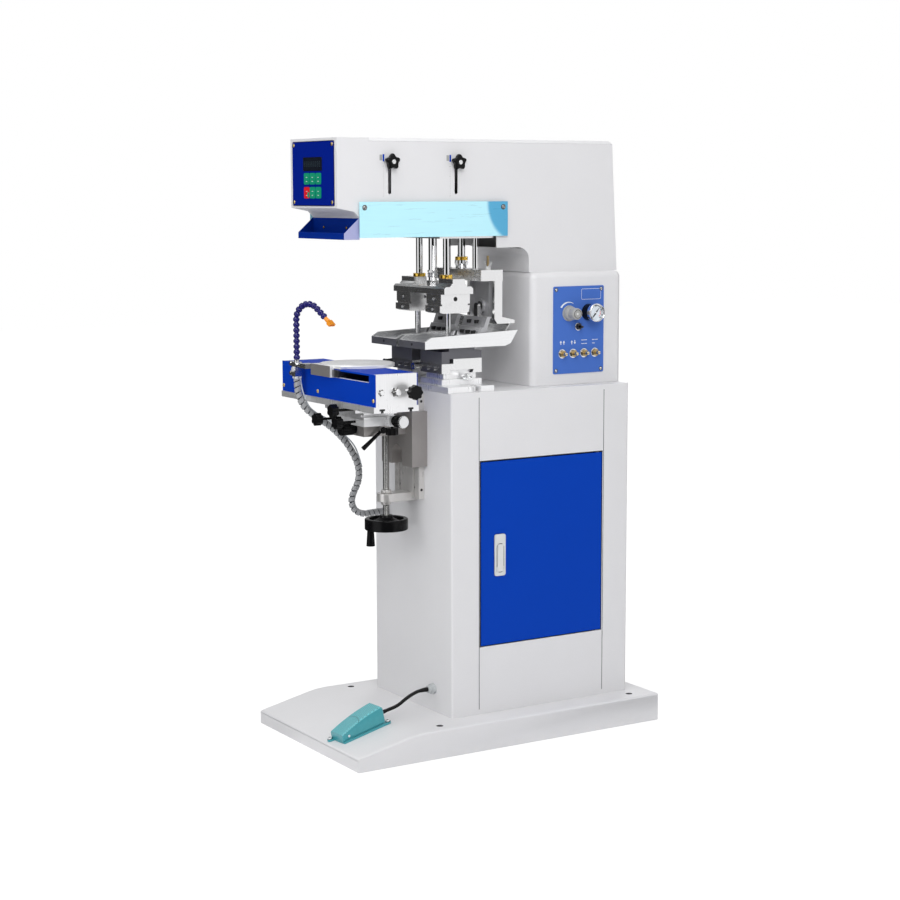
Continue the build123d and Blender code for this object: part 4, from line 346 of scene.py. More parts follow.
def filmSheet(name, near, far):
    # protective film on sheet metal, deeper in colour within an arc round a spot near the
    # rear end: reach = square root of the squared distances along y and z; the height is a
    # noise drawn out along y
    shade = Shade(name)
    back = shade.along("Y") - 0.095
    rise = shade.along("Z") - 1.275
    length = (back * back + rise * rise).maths("SQRT").step(0.097, 0.085)
    streaks = shade.noise(1.0, 4.0, 0.6, shade.stretched((60.0, 9.0, 160.0)))
    wrinkle = shade.noise(1.0, 2.0, 0.5, shade.stretched((30.0, 16.0, 45.0)))
    tint = shade.mix(length, near, far)
    normal = shade.bump(wrinkle, 0.12, 0.0005)
    return shade.finish(tint=shade.tone(tint, streaks * 0.08 + 0.96), metal=0.1,
                        rough=streaks * 0.2 + 0.2, normal=normal, coat=0.15, coatRough=0.2)


def treadEnamel(name, tint, tread=0.0):
    # turquoise enamel, thick and slightly uneven; the tread is a field of small diamonds,
    # coarse behind a curved line and fine before it: height = the size of the wave along
    # one diagonal times the wave along the other
    shade = Shade(name)
    lump = shade.noise(120.0, 3.0)
    grain = shade.noise(900.0, 2.0)
    height = lump * 0.7 + grain * 0.3
    amount = lump * 0.22 + 0.88
    if tread:
        across = (shade.along("X") - 0.11) * 0.9976 + (shade.along("Y") + 0.346) * 0.0698
        ahead = (shade.along("Y") + 0.346) * 0.9976 - (shade.along("X") - 0.11) * 0.0698
        edge = ahead + across * across * 14.0 + 0.010
        rear = edge.step(-0.0004, 0.0004)
        pads = []
        for pitch in (0.0054, 0.0034):
            pace = math.pi / pitch
            first = ((across * 0.85 + ahead * 0.53) * pace).maths("SINE")
            second = ((across * 0.85 - ahead * 0.53) * pace).maths("SINE")
            pads.append((first * second).size().step(0.03, 0.4))
        pattern = pads[0] * rear + pads[1] * (1 - rear)
        line = edge.size().step(0.0016, 0.0006)
        height = height * 0.3 + pattern * tread - line
        # painted shade: the tone is darker in the grooves between the diamonds and along the split
        # line
        amount = amount * 0.68 + pattern * 0.42 - line * 0.34
    normal = shade.bump(height, 0.3 if not tread else 0.8, 0.0008)
    return shade.finish(tint=shade.tone(tint, amount), rough=grain * 0.12 + 0.24,
                        normal=normal, coat=0.35, coatRough=0.12)


def lightGlass(name, tint, rough=0.05):
    # clear cover: roughness = a low value + 0.08 x a cloud of smears
    shade = Shade(name)
    smear = shade.noise(40.0, 3.0)
    return shade.finish(tint=tint, rough=smear * 0.08 + rough, clear=1.0, ior=1.3,
                        alpha=0.14)


def glowing(name, tint, power):
    # unlit display bars with a painted glow: glow = colour x (0.85 + 0.3 x grain)
    shade = Shade(name)
    grain = shade.noise(600.0, 2.0)
    return shade.finish(tint=tint, rough=0.4, glow=shade.tone(tint, grain * 0.3 + 0.85),
                        glowPower=power)


finishTable = {
    powderCoat: {
        "framePaint": ((0.775, 0.77, 0.782), 0.12, 0.5),
        # painted shade: a dark grey for the walls of the base's bolt holes and the head's inside
        # faces
        "insideShade": ((0.11, 0.11, 0.112), 0.1, 0.3),
        "bluePaint": ((0.002, 0.052, 0.45), 0.1, 0.32, 0.4, 0.0, 0.05),
        "coverBlue": ((0.001, 0.044, 0.44), 0.1, 0.32, 0.45, 0.0, 0.02),
        # painted shade: the tool tray takes a darker copy of the blue paint
        "trayBlue": ((0.001, 0.024, 0.25), 0.1, 0.3, 0.45, 0.0, 0.02),
        "panelBlue": ((0.072, 0.172, 0.57), 0.04, 0.12, 0.34, 0.0, 0.06),
        "controlFilm": ((0.0005, 0.0125, 0.24), 0.05, 0.1, 0.3, 0.0, 0.02),
        "tapeFilm": ((0.40, 0.41, 0.66), 0.1, 0.3, 0.3, 0.1, 0.3)},
    filmSheet: {"guardFilm": ((0.52, 0.90, 1.0), (0.08, 0.40, 0.65))},
    milled: {
        "steelAlongX": ((0.80, 0.80, 0.80), "X", 0.26),
        "steelAlongZ": ((0.68, 0.665, 0.65), "Z", 0.3, 0.25, 0.2, 0.55),
        "clampSteel": ((0.44, 0.44, 0.455), "X", 0.32, 0.2, 0.16, 0.5),
        "darkSteel": ((0.24, 0.245, 0.26), "X", 0.3, 0.2, 0.2),
        "aluminium": ((0.90, 0.90, 0.905), "Z", 0.3, 0.2, 0.08, 0.7),
        "tableSteel": ((0.93, 0.93, 0.93), "X", 0.22, 0.12, 0.06, 0.3),
        "slideMetal": ((0.90, 0.90, 0.905), "X", 0.3, 0.2, 0.08, 0.4),
        "saddleSteel": ((0.36, 0.34, 0.33), "Z", 0.36, 0.3, 0.25, 0.55),
        "stageDark": ((0.10, 0.10, 0.11), "X", 0.5, 0.3, 0.3, 0.3),
        "slateFace": ((0.13, 0.13, 0.145), "X", 0.45, 0.3, 0.3, 0.3),
        "trayMetal": ((0.86, 0.865, 0.87), "Y", 0.25, 0.2, 0.1)},
    turnedMetal: {
        "screwSteel": ((0.42, 0.42, 0.41), 0.25),
        "groundRod": ((0.88, 0.885, 0.89), 0.06, 0.02, 0.03),
        "brightSteel": ((0.74, 0.745, 0.75), 0.24),
        "brass": ((0.83, 0.55, 0.10), 0.22),
        "bronzeNut": ((0.42, 0.32, 0.17), 0.3),
        "paleBrass": ((0.72, 0.62, 0.42), 0.26),
        "goldPlate": ((0.90, 0.68, 0.26), 0.3),
        "blackOxide": ((0.07, 0.07, 0.075), 0.36, 0.4)},
    moulded: {
        "zincScrew": ((0.86, 0.865, 0.87), 0.3, 0.1, 0.2, 0.3, 0.5),
        "goldScrew": ((0.86, 0.62, 0.22), 0.3, 0.1, 0.2, 0.3, 0.5),
        "blackPlastic": ((0.0045, 0.0045, 0.005), 0.26, 0.12, 0.0, 0.0, 0.13),
        "dullBlack": ((0.02, 0.02, 0.021), 0.55, 0.35),
        "greyKnob": ((0.40, 0.40, 0.39), 0.4, 0.2),
        "glandGrey": ((0.50, 0.52, 0.53), 0.3, 0.15, 0.2),
        "palePlastic": ((0.72, 0.73, 0.72), 0.35, 0.15),
        "hoseNavy": ((0.010, 0.007, 0.13), 0.22, 0.08, 0.1),
        "nozzleOrange": ((0.95, 0.33, 0.02), 0.3, 0.1, 0.2),
        "wrapGrey": ((0.37, 0.375, 0.385), 0.3, 0.2, 0.1),
        "innerTube": ((0.035, 0.04, 0.05), 0.35, 0.1),
        "cableBlack": ((0.006, 0.006, 0.0065), 0.42, 0.25, 0.0, 0.0, 0.2),
        "clearTube": ((0.62, 0.66, 0.70), 0.2, 0.05, 0.4),
        "keyGreen": ((0.006, 0.29, 0.155), 0.3, 0.08, 0.02, 0.0, 0.1),
        "keyRed": ((0.70, 0.012, 0.02), 0.3, 0.08, 0.02, 0.0, 0.1),
        "windowDark": ((0.006, 0.009, 0.016), 0.16, 0.04, 0.1, 0.0, 0.2),
        "printWhite": ((0.80, 0.84, 0.88), 0.45, 0.1),
        "dialWhite": ((0.80, 0.86, 0.92), 0.4, 0.08)},
    treadEnamel: {"footEnamel": ((0.055, 0.36, 0.41),), "footTread": ((0.15, 0.53, 0.58), 1.0)},
    lightGlass: {"gaugeGlass": ((0.95, 0.97, 0.98),)},
    glowing: {"digitGlow": ((0.02, 0.035, 0.045), 0.4)},
}
finishes = {name: maker(name, *values) for maker, table in finishTable.items()
            for name, values in table.items()}
print("finishes made:", len(finishes))


# shapes: every one is (points, faces, finish number)

def gridFaces(rows, columns, closeRows=False, closeColumns=False):
    # quads between neighbours of a rows x columns grid, wrapped where closed
    row, column = np.meshgrid(np.arange(rows if closeRows else rows - 1),
                              np.arange(columns if closeColumns else columns - 1), indexing="ij")
    nextRow = (row + 1) % rows
    nextColumn = (column + 1) % columns
    quads = np.stack([row * columns + column, nextRow * columns + column,
                      nextRow * columns + nextColumn, row * columns + nextColumn], -1)
    return quads.reshape(-1, 4).tolist()


def turned(profile, sides=32, wave=None, finish=0):
    # each profile point (radius, height) goes round the z axis; a wave function of
    # (angle, radius, height) may change the radius
    outline = np.asarray(profile, float)
    angle = np.arange(sides)[:, None] * 2 * np.pi / sides
    radius = np.broadcast_to(outline[None, :, 0], (sides, len(outline)))
    height = np.broadcast_to(outline[None, :, 1], (sides, len(outline)))
    if wave:
        radius = wave(angle, radius, height)
    points = np.stack([radius * np.cos(angle), radius * np.sin(angle), height + 0 * angle], -1)
    return points.reshape(-1, 3), gridFaces(sides, len(outline), closeRows=True), finish


def prism(outline, low, high, finish=0):
    # a closed outline of (x, y) points raised from low to high
    flat = np.asarray(outline, float)
    count = len(flat)
    points = np.concatenate([np.column_stack([flat, np.full(count, low)]),
                             np.column_stack([flat, np.full(count, high)])])
    faces = gridFaces(2, count, closeColumns=True)
    faces += [list(range(count))[::-1], list(range(count, count * 2))]
    return points, faces, finish


def slab(low, high, finish=0):
    # a box between two corners
    (x0, y0, z0), (x1, y1, z1) = low, high
    return prism([(x0, y0), (x1, y0), (x1, y1), (x0, y1)], z0, z1, finish)


def roundedOutline(width, height, corner):
    # a rectangle round the origin with arcs of five steps at its corners
    angle = np.linspace(0, np.pi / 2, 6)
    parts = []
    for turn, (sx, sy) in enumerate(((1, 1), (-1, 1), (-1, -1), (1, -1))):
        swing = angle + turn * np.pi / 2
        parts.append(np.column_stack([
            sx * (width / 2 - corner) + corner * np.cos(swing),
            sy * (height / 2 - corner) + corner * np.sin(swing)]))
    return np.concatenate(parts)


def roundedBand(width, height, corner, band, low, high, finish=0):
    # a flat frame between a rounded outline and the same one moved in by the band
    outer = roundedOutline(width, height, corner)
    inner = roundedOutline(width - band * 2, height - band * 2, max(corner - band, 0.2))
    count = len(outer)
    rings = [np.column_stack([line, np.full(count, level)])
             for line, level in ((outer, low), (outer, high), (inner, high), (inner, low))]
    points = np.stack(rings, 1).reshape(-1, 3)
    return points, gridFaces(count, 4, closeRows=True, closeColumns=True), finish


def waysAlong(line, up):
    # unit vectors along a path and two more square to it, the first also square to up
    ahead = np.gradient(line, axis=0)
    ahead /= np.linalg.norm(ahead, axis=1, keepdims=True)
    side = np.cross(np.broadcast_to(up, ahead.shape), ahead)
    side /= np.linalg.norm(side, axis=1, keepdims=True)
    return ahead, side, np.cross(ahead, side)


def tubeAlong(path, radius, sides=16, up=(0, 0, 1), finish=0):
    # circles square to a path, with closed ends; the radius may change along it
    line = np.asarray(path, float)
    ahead, side, lift = waysAlong(line, up)
    angle = (np.arange(sides) * 2 * np.pi / sides)[None, :, None]
    reach = np.broadcast_to(np.asarray(radius, float).reshape(-1, 1, 1), (len(line), 1, 1))
    rings = (line[:, None] + reach * (np.cos(angle) * side[:, None]
                                      + np.sin(angle) * lift[:, None]))
    last = (len(line) - 1) * sides
    faces = gridFaces(len(line), sides, closeColumns=True)
    faces += [list(range(sides))[::-1], list(range(last, last + sides))]
    return rings.reshape(-1, 3), faces, finish


def facing(direction):
    # a turn that takes +z to the direction
    return np.array(Vector(direction).to_track_quat("Z", "Y").to_matrix())


def put(shape, origin=(0, 0, 0), direction=None, spin=0.0):
    # a shape spun round its axis, turned to a direction and moved
    points, faces, number = shape
    if spin:
        turn = np.array(Matrix.Rotation(math.radians(spin), 3, "Z"))
        points = points @ turn.T
    if direction is not None:
        points = points @ facing(direction).T
    return points + np.asarray(origin, float), faces, number


def lathe(profile, place, direction, sides=24, finish=0, wave=None):
    # a turned shape in its place
    return put(turned(profile, sides, wave, finish), place, direction)


def disc(radius, thick):
    # the profile of a plain disc or rod
    return [(0, 0), (radius, 0), (radius, thick), (0, thick)]


def alongX(shape, origin=(0, 0, 0)):
    # a shape drawn in (y, z) and raised along x
    points, faces, number = shape
    return points[:, [2, 0, 1]] + np.asarray(origin, float), faces, number


def alongY(shape, origin=(0, 0, 0)):
    # a shape drawn in (x, z) and raised along -y
    points, faces, number = shape
    return (np.column_stack([points[:, 0], -points[:, 2], points[:, 1]])
            + np.asarray(origin, float), faces, number)


def mend(mesh, gap, flatten=0.0):
    # joins corners within the gap, clears edges inside flat faces and turns faces outwards
    solid = bmesh.new()
    solid.from_mesh(mesh)
    bmesh.ops.remove_doubles(solid, verts=solid.verts, dist=gap)
    if flatten:
        bmesh.ops.dissolve_limit(solid, angle_limit=math.radians(flatten), verts=solid.verts,
                                 edges=solid.edges)
    bmesh.ops.recalc_face_normals(solid, faces=solid.faces)
    solid.to_mesh(mesh)
    solid.free()


def settle(name, mesh, body, replaced, bevel, keen):
    # shading and soft edges, then the piece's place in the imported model
    mesh.shade_smooth()
    mesh.set_sharp_from_angle(angle=math.radians(keen))
    piece = bpy.data.objects.new(name, mesh)
    scene.collection.objects.link(piece)
    if bevel:
        soft = piece.modifiers.new("softEdges", "BEVEL")
        soft.width = bevel * millimetre
        soft.segments = 2
        soft.limit_method = "ANGLE"
        soft.angle_limit = math.radians(40)
        soft.harden_normals = True
        soft.use_clamp_overlap = True
    if body:
        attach(piece, body)
    if replaced:
        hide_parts(*replaced)
    return piece


def makePiece(name, shapes, materials, body, replaced=(), bevel=0.0, keen=32.0):
    # one mesh from several shapes, in metres, with closed seams and outward faces
    faces = []
    numbers = []
    start = 0
    for places, quads, number in shapes:
        faces += [[corner + start for corner in face] for face in quads]
        numbers += [number] * len(quads)
        start += len(places)
    points = np.concatenate([places for places, quads, number in shapes])
    mesh = bpy.data.meshes.new(name)
    mesh.from_pydata((points * millimetre).tolist(), [], faces)
    for material in materials:
        mesh.materials.append(finishes[material])
    mesh.polygons.foreach_set("material_index", np.array(numbers, np.int32))
    mend(mesh, 0.000004)
    return settle(name, mesh, body, replaced, bevel, keen)


def softCopy(node, finishName, width, body, slotName, areas=()):
    # the CAD node's own form with its sharp edges broken; an area is a finish and a
    # test on the x, y and z of the face centres in millimetres and the normals' rise
    name = "soft" + "".join(word.capitalize() for word in node.split("_"))
    mesh = nodes[node].data.copy()
    mesh.name = name
    mend(mesh, 0.00001, 0.6)
    mesh.materials.clear()
    mesh.materials.append(finishes[finishName])
    middles, normals = np.empty((2, len(mesh.polygons) * 3))
    mesh.polygons.foreach_get("center", middles)
    mesh.polygons.foreach_get("normal", normals)
    x, y, z = middles.reshape(-1, 3).T / millimetre
    numbers = np.zeros(len(mesh.polygons), np.int32)
    for number, (finish, inside) in enumerate(areas, 1):
        mesh.materials.append(finishes[finish])
        numbers[inside(x, y, z, normals[2::3])] = number
    mesh.polygons.foreach_set("material_index", numbers)
    return settle(name, mesh, body, [node], width, 30.0)


# small fittings used all over

def screwHead(place, direction, radius=3.6, height=2.6, finish=0, dark=1, spin=20.0):
    # socket screw: rounded head with a six-sided hole
    head = turned([(radius * 0.55, height * 0.35), (radius * 0.55, height),
                   (radius * 0.82, height), (radius, height * 0.78), (radius, 0)], 20,
                  finish=finish)
    # painted shade: the hole's floor and walls take the dark finish
    hole = turned([(0, height * 0.35), (radius * 0.56, height * 0.35)], 6, finish=dark)
    wall = turned([(radius * 0.56, height * 0.3), (radius * 0.56, height * 1.0)], 6, finish=dark)
    return [put(shape, place, direction, spin) for shape in (head, hole, wall)]


def slotHead(place, direction, radius=3.6, height=2.0, finish=0, dark=1, spin=35.0):
    # domed screw with a straight slot
    rise = np.linspace(0, 1, 6)
    dome = turned([(radius * math.sin(math.pi / 2 * share), height * math.cos(
        math.pi / 2 * share * 0.9)) for share in rise] + [(radius, 0)], 20, finish=finish)
    # painted shade: the slot is a dark bar laid across the dome
    half = radius * 0.92
    slot = slab((-half, -radius * 0.13, height * 0.6), (half, radius * 0.13, height * 1.03), dark)
    return [put(shape, place, direction, spin) for shape in (dome, slot)]


def washer(place, direction, radius, inner, thick, finish=0):
    # flat ring with its upper rim broken
    points = turned([(inner, 0), (radius, 0), (radius, thick * 0.8), (radius * 0.96, thick),
                     (inner, thick)], 28)[0]
    ring = points, gridFaces(28, 5, closeRows=True, closeColumns=True), finish
    return [put(ring, place, direction)]


def lobedKnob(place, direction, radius, height, lobes, depth, finish=0, spin=0.0):
    # radius = profile x (1 - depth x rounded wave of the lobes); the rim and top are rounded
    def wave(angle, reach, level):
        swing = 0.5 - 0.5 * np.cos(lobes * angle)
        return reach * (1 - depth * swing * np.clip(reach / radius, 0, 1) ** 2)

    profile = [(radius * wide, height * high) for wide, high in (
        (0, 0), (0.80, 0), (0.94, 0.06), (1, 0.2), (1, 0.66), (0.96, 0.8), (0.84, 0.93),
        (0.62, 1), (0.3, 0.99), (0, 0.98))]
    return [put(turned(profile, lobes * 12, wave, finish), place, direction, spin)]


def hexNut(place, direction, radius, height, finish=0, spin=0.0):
    # six-sided nut whose corners are turned down at both faces
    def wave(angle, reach, level):
        flat = np.cos(np.pi / 6) / np.cos((angle + np.pi / 6) % (np.pi / 3) - np.pi / 6)
        return np.minimum(reach, radius * flat)

    profile = [(0, 0), (radius * 0.9, 0), (radius, height * 0.14), (radius, height * 0.86),
               (radius * 0.9, height), (0, height)]
    return [put(turned(profile, 48, wave, finish), place, direction, spin)]


# parts that keep the CAD form

hoseEnd = {"start": (-26.6, -351.2, 1011.6), "way": (0.726, 0.279, -0.629)}


def pastHose(x, y, z, up):
    # beyond the hose's end, along the way it points
    start, way = hoseEnd["start"], hoseEnd["way"]
    return ((x - start[0]) * way[0] + (y - start[1]) * way[1] + (z - start[2]) * way[2]) > 0.2


def beyondDoctor(y, z):
    # the square screws stand off the leaning holder and off its clamp bar
    out = (4.6 - y) * 0.94 + (z - 1009) * 0.342
    return ((out > 0.5) & (z > 989)) | ((out > 6.1) & (z < 981))


# node: finish, bevel in millimetres, body, slot, and the areas with a finish of their own
softened = {
    "base": ("framePaint", 1.6, "frame", "frame_paint", [
        # painted shade: the walls of the bolt holes are dark grey
        ("insideShade", lambda x, y, z, up: (abs(up) < 0.5) & (hypot(
            abs(x) - 215, np.minimum(abs(y + 190), abs(y - 360))) < 8.4))]),
    "column": ("framePaint", 1.0, "frame", "frame_paint", [
        ("glandGrey", lambda x, y, z, up: (hypot(x - 98, z - 124) < 12.5) & (y < -135.2)),
        ("dullBlack", lambda x, y, z, up: (x > 180) & (x < 180.95)
         & ((abs(y + 59) < 1.2) | (abs(y - 301) < 1.2))),
        # painted shade: the walls of the door's opening are black, so the gap round the door reads
        # dark
        ("dullBlack", lambda x, y, z, up: (x > 140) & (x < 180.9) & (
            (((abs(y + 56) < 0.8) | (abs(y - 298) < 0.8)) & (z > 230) & (z < 677))
            | (((abs(z - 231) < 0.8) | (abs(z - 676) < 0.8)) & (y > -57) & (y < 299)))),
        ("blackPlastic", lambda x, y, z, up: (hypot(x + 120, z - 525) < 9.5)
         & (y < -135.2))]),
    "rear_housing": ("framePaint", 1.4, "frame", "frame_paint"),
    "head_housing": ("framePaint", 1.0, "frame", "frame_paint", [
        # painted shade: the inside faces are dark grey and the stop slots' walls black, so the
        # slots and the hollow under the guard read dark
        ("insideShade", lambda x, y, z, up: (abs(x) < 112.7) & (z > 1270) & (up < 0.3)
         & (y > -390.5) & (y < 350)),
        ("dullBlack", lambda x, y, z, up: (abs(x) < 112.7) & (abs(x) > 109.2)
         & (z > 1280) & (z < 1380) & (up < 0.9)
         & ((abs(y + 257) < 9) | (abs(y + 79) < 9)))]),
    "cabinet_door": ("bluePaint", 1.0, "door", "blue_paint", [
        ("palePlastic", lambda x, y, z, up: (x > 178.1) & (abs(y + 2) < 15.2)
         & (abs(z - 449) < 50.2) & (x < 190))]),
    "door_lever": ("palePlastic", 1.2, "door_lock", "bright_metal"),
    "tool_tray": ("trayBlue", 1.0, "frame", "blue_paint", [
        ("tapeFilm", lambda x, y, z, up: x > 111.9),
        ("brass", lambda x, y, z, up: (hypot(abs(x) - 55, z - 1222) < 3.4)
         & (y < -337.4))]),
    "guard_plates": ("guardFilm", 0.5, "frame", "pale_film", [
        ("screwSteel", lambda x, y, z, up: (abs(x) > 121) & (hypot(
            np.minimum(abs(y + 327), abs(y - 47)), z - 1268) < 4.7))]),
    "print_carriage": ("steelAlongX", 0.6, "carriage", "machined_steel"),
    "pad_beam": ("steelAlongX", 0.7, "pad_head", "machined_steel"),
    "blade_beam": ("steelAlongX", 0.6, "blade_head", "machined_steel", [
        ("bronzeNut", lambda x, y, z, up: (z > 1137) & (abs(abs(x) - 66) < 3.5)),
        ("zincScrew", lambda x, y, z, up: (z > 1120.1) & (abs(abs(x) - 66) < 17)
         & (hypot(abs(x) - 66, y - 39) > 3.4)),
        ("clampSteel", lambda x, y, z, up: (z < 1093.9) & (y > 15) & (y < 34.5)
         & (abs(abs(x) - 66) < 31.2))]),
    "pad_rods": ("groundRod", 0.5, "pad_head", "chrome_rod", [
        ("brass", lambda x, y, z, up: (z < 1109.5) & (abs(x) > 40)),
        ("brightSteel", lambda x, y, z, up: (z < 1094.5) & (abs(x) < 20))]),
    "tray_base": ("aluminium", 0.7, "frame", "machined_steel"),
    "vertical_guide": ("steelAlongZ", 0.7, "frame", "machined_aluminium"),
    "table_saddle": ("saddleSteel", 0.7, "saddle", "machined_aluminium"),
    "clamp_lever": ("blackPlastic", 1.0, "saddle_clamp", "black_plastic", [
        ("brightSteel", lambda x, y, z, up: (hypot(y + 246, z - 750) < 8.2) & (x < 57))]),
    "handwheel": ("blackPlastic", 1.2, "wheel", "black_plastic"),
    "cross_slide": ("slideMetal", 0.6, "cross", "machined_aluminium"),
    "feed_knob_x": ("blackPlastic", 0.35, "feed_x", "black_plastic", [
        ("brightSteel", lambda x, y, z, up: (x > 149.8) | (x < 111.5))]),
    "feed_knob_y": ("blackPlastic", 0.35, "feed_y", "black_plastic"),
    **{"clamp_knob_" + spot: ("blackPlastic", 1.2, "clamp_" + spot, "black_plastic")
       for spot in ("left", "low", "high", "under")},
    "shuttle_body": ("aluminium", 0.6, "shuttle", "machined_aluminium", [
        ("groundRod", lambda x, y, z, up: (abs(x) < 217.5)
         & (abs(abs(y + 309) - 30) < 7.2) & (abs(z - 868) < 7.2)),
        ("brightSteel", lambda x, y, z, up: y < -372)]),
    "shuttle_cover": ("coverBlue", 1.0, "shuttle", "blue_paint", [
        ("brass", lambda x, y, z, up: (y < -364.2) & (abs(z - 840) < 4))]),
    "work_table": ("tableSteel", 0.6, "table", "machined_steel", [
        # painted shade: the lower faces right of the plate take a dark steel, and the front faces
        # the saddle's darker steel
        ("darkSteel", lambda x, y, z, up: (x > 37.2) & (z < 898)),
        ("saddleSteel", lambda x, y, z, up: (abs(up) < 0.3) & (y < -350)
         & (abs(x + 10) < 46) & (z < 904))]),
    "shuttle_stop_knob": ("blackPlastic", 1.2, "shuttle_stop", "black_plastic", [
        ("brightSteel", lambda x, y, z, up: x < 249.8)]),
    "air_hose": ("hoseNavy", 0.25, "shuttle", "hose_plastic", [("nozzleOrange", pastHose)]),
    "foot_switch_base": ("footEnamel", 0.9, "frame", "teal_plastic"),
    "foot_pedal": ("footEnamel", 0.9, "pedal", "teal_plastic", [
        ("footTread", lambda x, y, z, up: up > 0.6)]),
}
for side in ("left", "right"):
    softened.update({
        "pad_holder_" + side: ("steelAlongX", 0.5, "pad_head", "machined_steel", [
            ("brightSteel", lambda x, y, z, up: z < 1019.9)]),
        "doctor_blade_" + side: ("steelAlongX", 0.4, "doctor_" + side, "machined_steel", [
            ("clampSteel", lambda x, y, z, up: y < 10),
            ("dullBlack", lambda x, y, z, up: beyondDoctor(y, z))]),
        "ink_tray_" + side: ("trayMetal", 0.6, "tray_" + side, "machined_aluminium", [
            ("darkSteel", lambda x, y, z, up: (up > 0.9) & (z < 956) & (y > -166) & (y < 66)),
            ("slateFace", lambda x, y, z, up: (abs(up) < 0.5)
             & ((z < 939.9) | (y < -165)) & (abs(abs(x) - 66) < 52))]),
        "tray_stage_" + side: ("steelAlongX", 0.5, "stage_" + side, "machined_steel", [
            ("stageDark", lambda x, y, z, up: (abs(up) < 0.5)
             & (abs(abs(x) - 68.5) < 46))]),
        "stage_side_knob_" + side: ("brightSteel", 0.25, "side_knob_" + side, "bright_metal"),
        "stage_front_knob_" + side: (
            "brightSteel", 0.25, "front_knob_" + side, "bright_metal", [
                ("screwSteel", lambda x, y, z, up: y < -134.2),
                ("brightSteel", lambda x, y, z, up: (y > -134.2) & (y < -122))]),
    })
for node, settings in softened.items():
    softCopy(node, *settings)
# the carriage's rails stay as the CAD has them
rails = nodes["carriage_rails"].data
if not rails.materials:
    rails.materials.append(None)
for place in range(len(rails.materials)):
    rails.materials[place] = finishes["groundRod"]
print("CAD forms softened:", len(softened))


# control panel: film, window, keys and gold screws

panel = {"middle": (0, -393.1, 1345), "face": -395.0, "columns": (-28.5, 0.0, 28.5),
         "screws": [(x, z) for x in (-93.0, 93.0) for z in (1280.0, 1410.0)],
         "window": (0.0, 1366.6, 88.0, 27.0), "digits": -36.4 + np.arange(8) * 10.4,
         "rows": (1333.5, 1301.8), "key": (26.5, 26.0, 4.0)}


def controlPanel(size):
    # film and rim, window with eight digits of seven bars, six keys of two marks, screws
    face = size["face"]
    x, z, width, height = size["window"]
    shapes = [alongY(prism(roundedOutline(200, 144, 3.0), 0, 1.9, 0), size["middle"]),
              alongY(roundedBand(203, 147, 4.5, 1.4, 0, 1.0, 7), (0, -393.05, 1345)),
              alongY(prism(roundedOutline(width, height, 1.5), 0, 0.9, 1), (x, face, z)),
              alongY(roundedBand(width + 4, height + 4, 2.0, 2.0, 0, 0.5, 7), (x, face, z))]
    bars = [(0, rise, 3.6, 0.9) for rise in (5.6, 0, -5.6)]
    bars += [(off, rise, 0.9, 4.4) for rise in (2.8, -2.8) for off in (-2.4, 2.4)]
    for spot in size["digits"]:
        for off, rise, wide, high in bars:
            bar = slab((off - wide / 2, rise - high / 2, 0),
                       (off + wide / 2, rise + high / 2, 0.12), 3)
            shapes.append(alongY(bar, (x + spot, face - 0.88, z)))
    for row, level in enumerate(size["rows"]):
        for column, middle in enumerate(size["columns"]):
            colour = 5 if row == 1 and column == 0 else 4
            key = prism(roundedOutline(*size["key"]), 0, 1.0, colour)
            shapes.append(alongY(key, (middle, face, level)))
            for mark in (-6, 3):
                bar = slab((-3.2, -0.6, 1.0), (3.2, 0.6, 1.1), 2)
                shapes.append(alongY(bar, (middle, face, level + mark)))
    patch = prism(roundedOutline(9, 12, 2.0), 0.9, 1.12, 4)
    shapes.append(alongY(patch, (size["columns"][0] + 8, face, size["rows"][1] - 5)))
    for x, z in size["screws"]:
        shapes += slotHead((x, face, z), toFront, 4.4, 2.0, 6, 7)
    return shapes


makePiece("controlFace", controlPanel(panel),
          ["controlFilm", "windowDark", "printWhite", "digitGlow", "keyGreen", "keyRed",
           "goldPlate", "blackOxide"], "frame", ["control_panel"], 0.25)
print("control panel made")


# air panel on the housing's side: regulator, gauge, toggle and four valves

air = {"face": 140.0, "regulator": (224.0, 1012.0), "gauge": (282.0, 1013.0),
       "toggle": (252.0, 979.0), "valveY": [205.0 + 32.2 * step for step in range(4)],
       "valveZ": 914.5, "middle": (253.5, 971.5), "size": (149.0, 211.0)}


def arcStrip(start, end, count, outer, inner):
    # an outline between two arcs round the origin, in degrees from +y towards +x
    arc = np.radians(np.linspace(start, end, count))
    return np.concatenate([np.column_stack([np.sin(arc) * outer, np.cos(arc) * outer]),
                           np.column_stack([np.sin(arc) * inner, np.cos(arc) * inner])[::-1]])


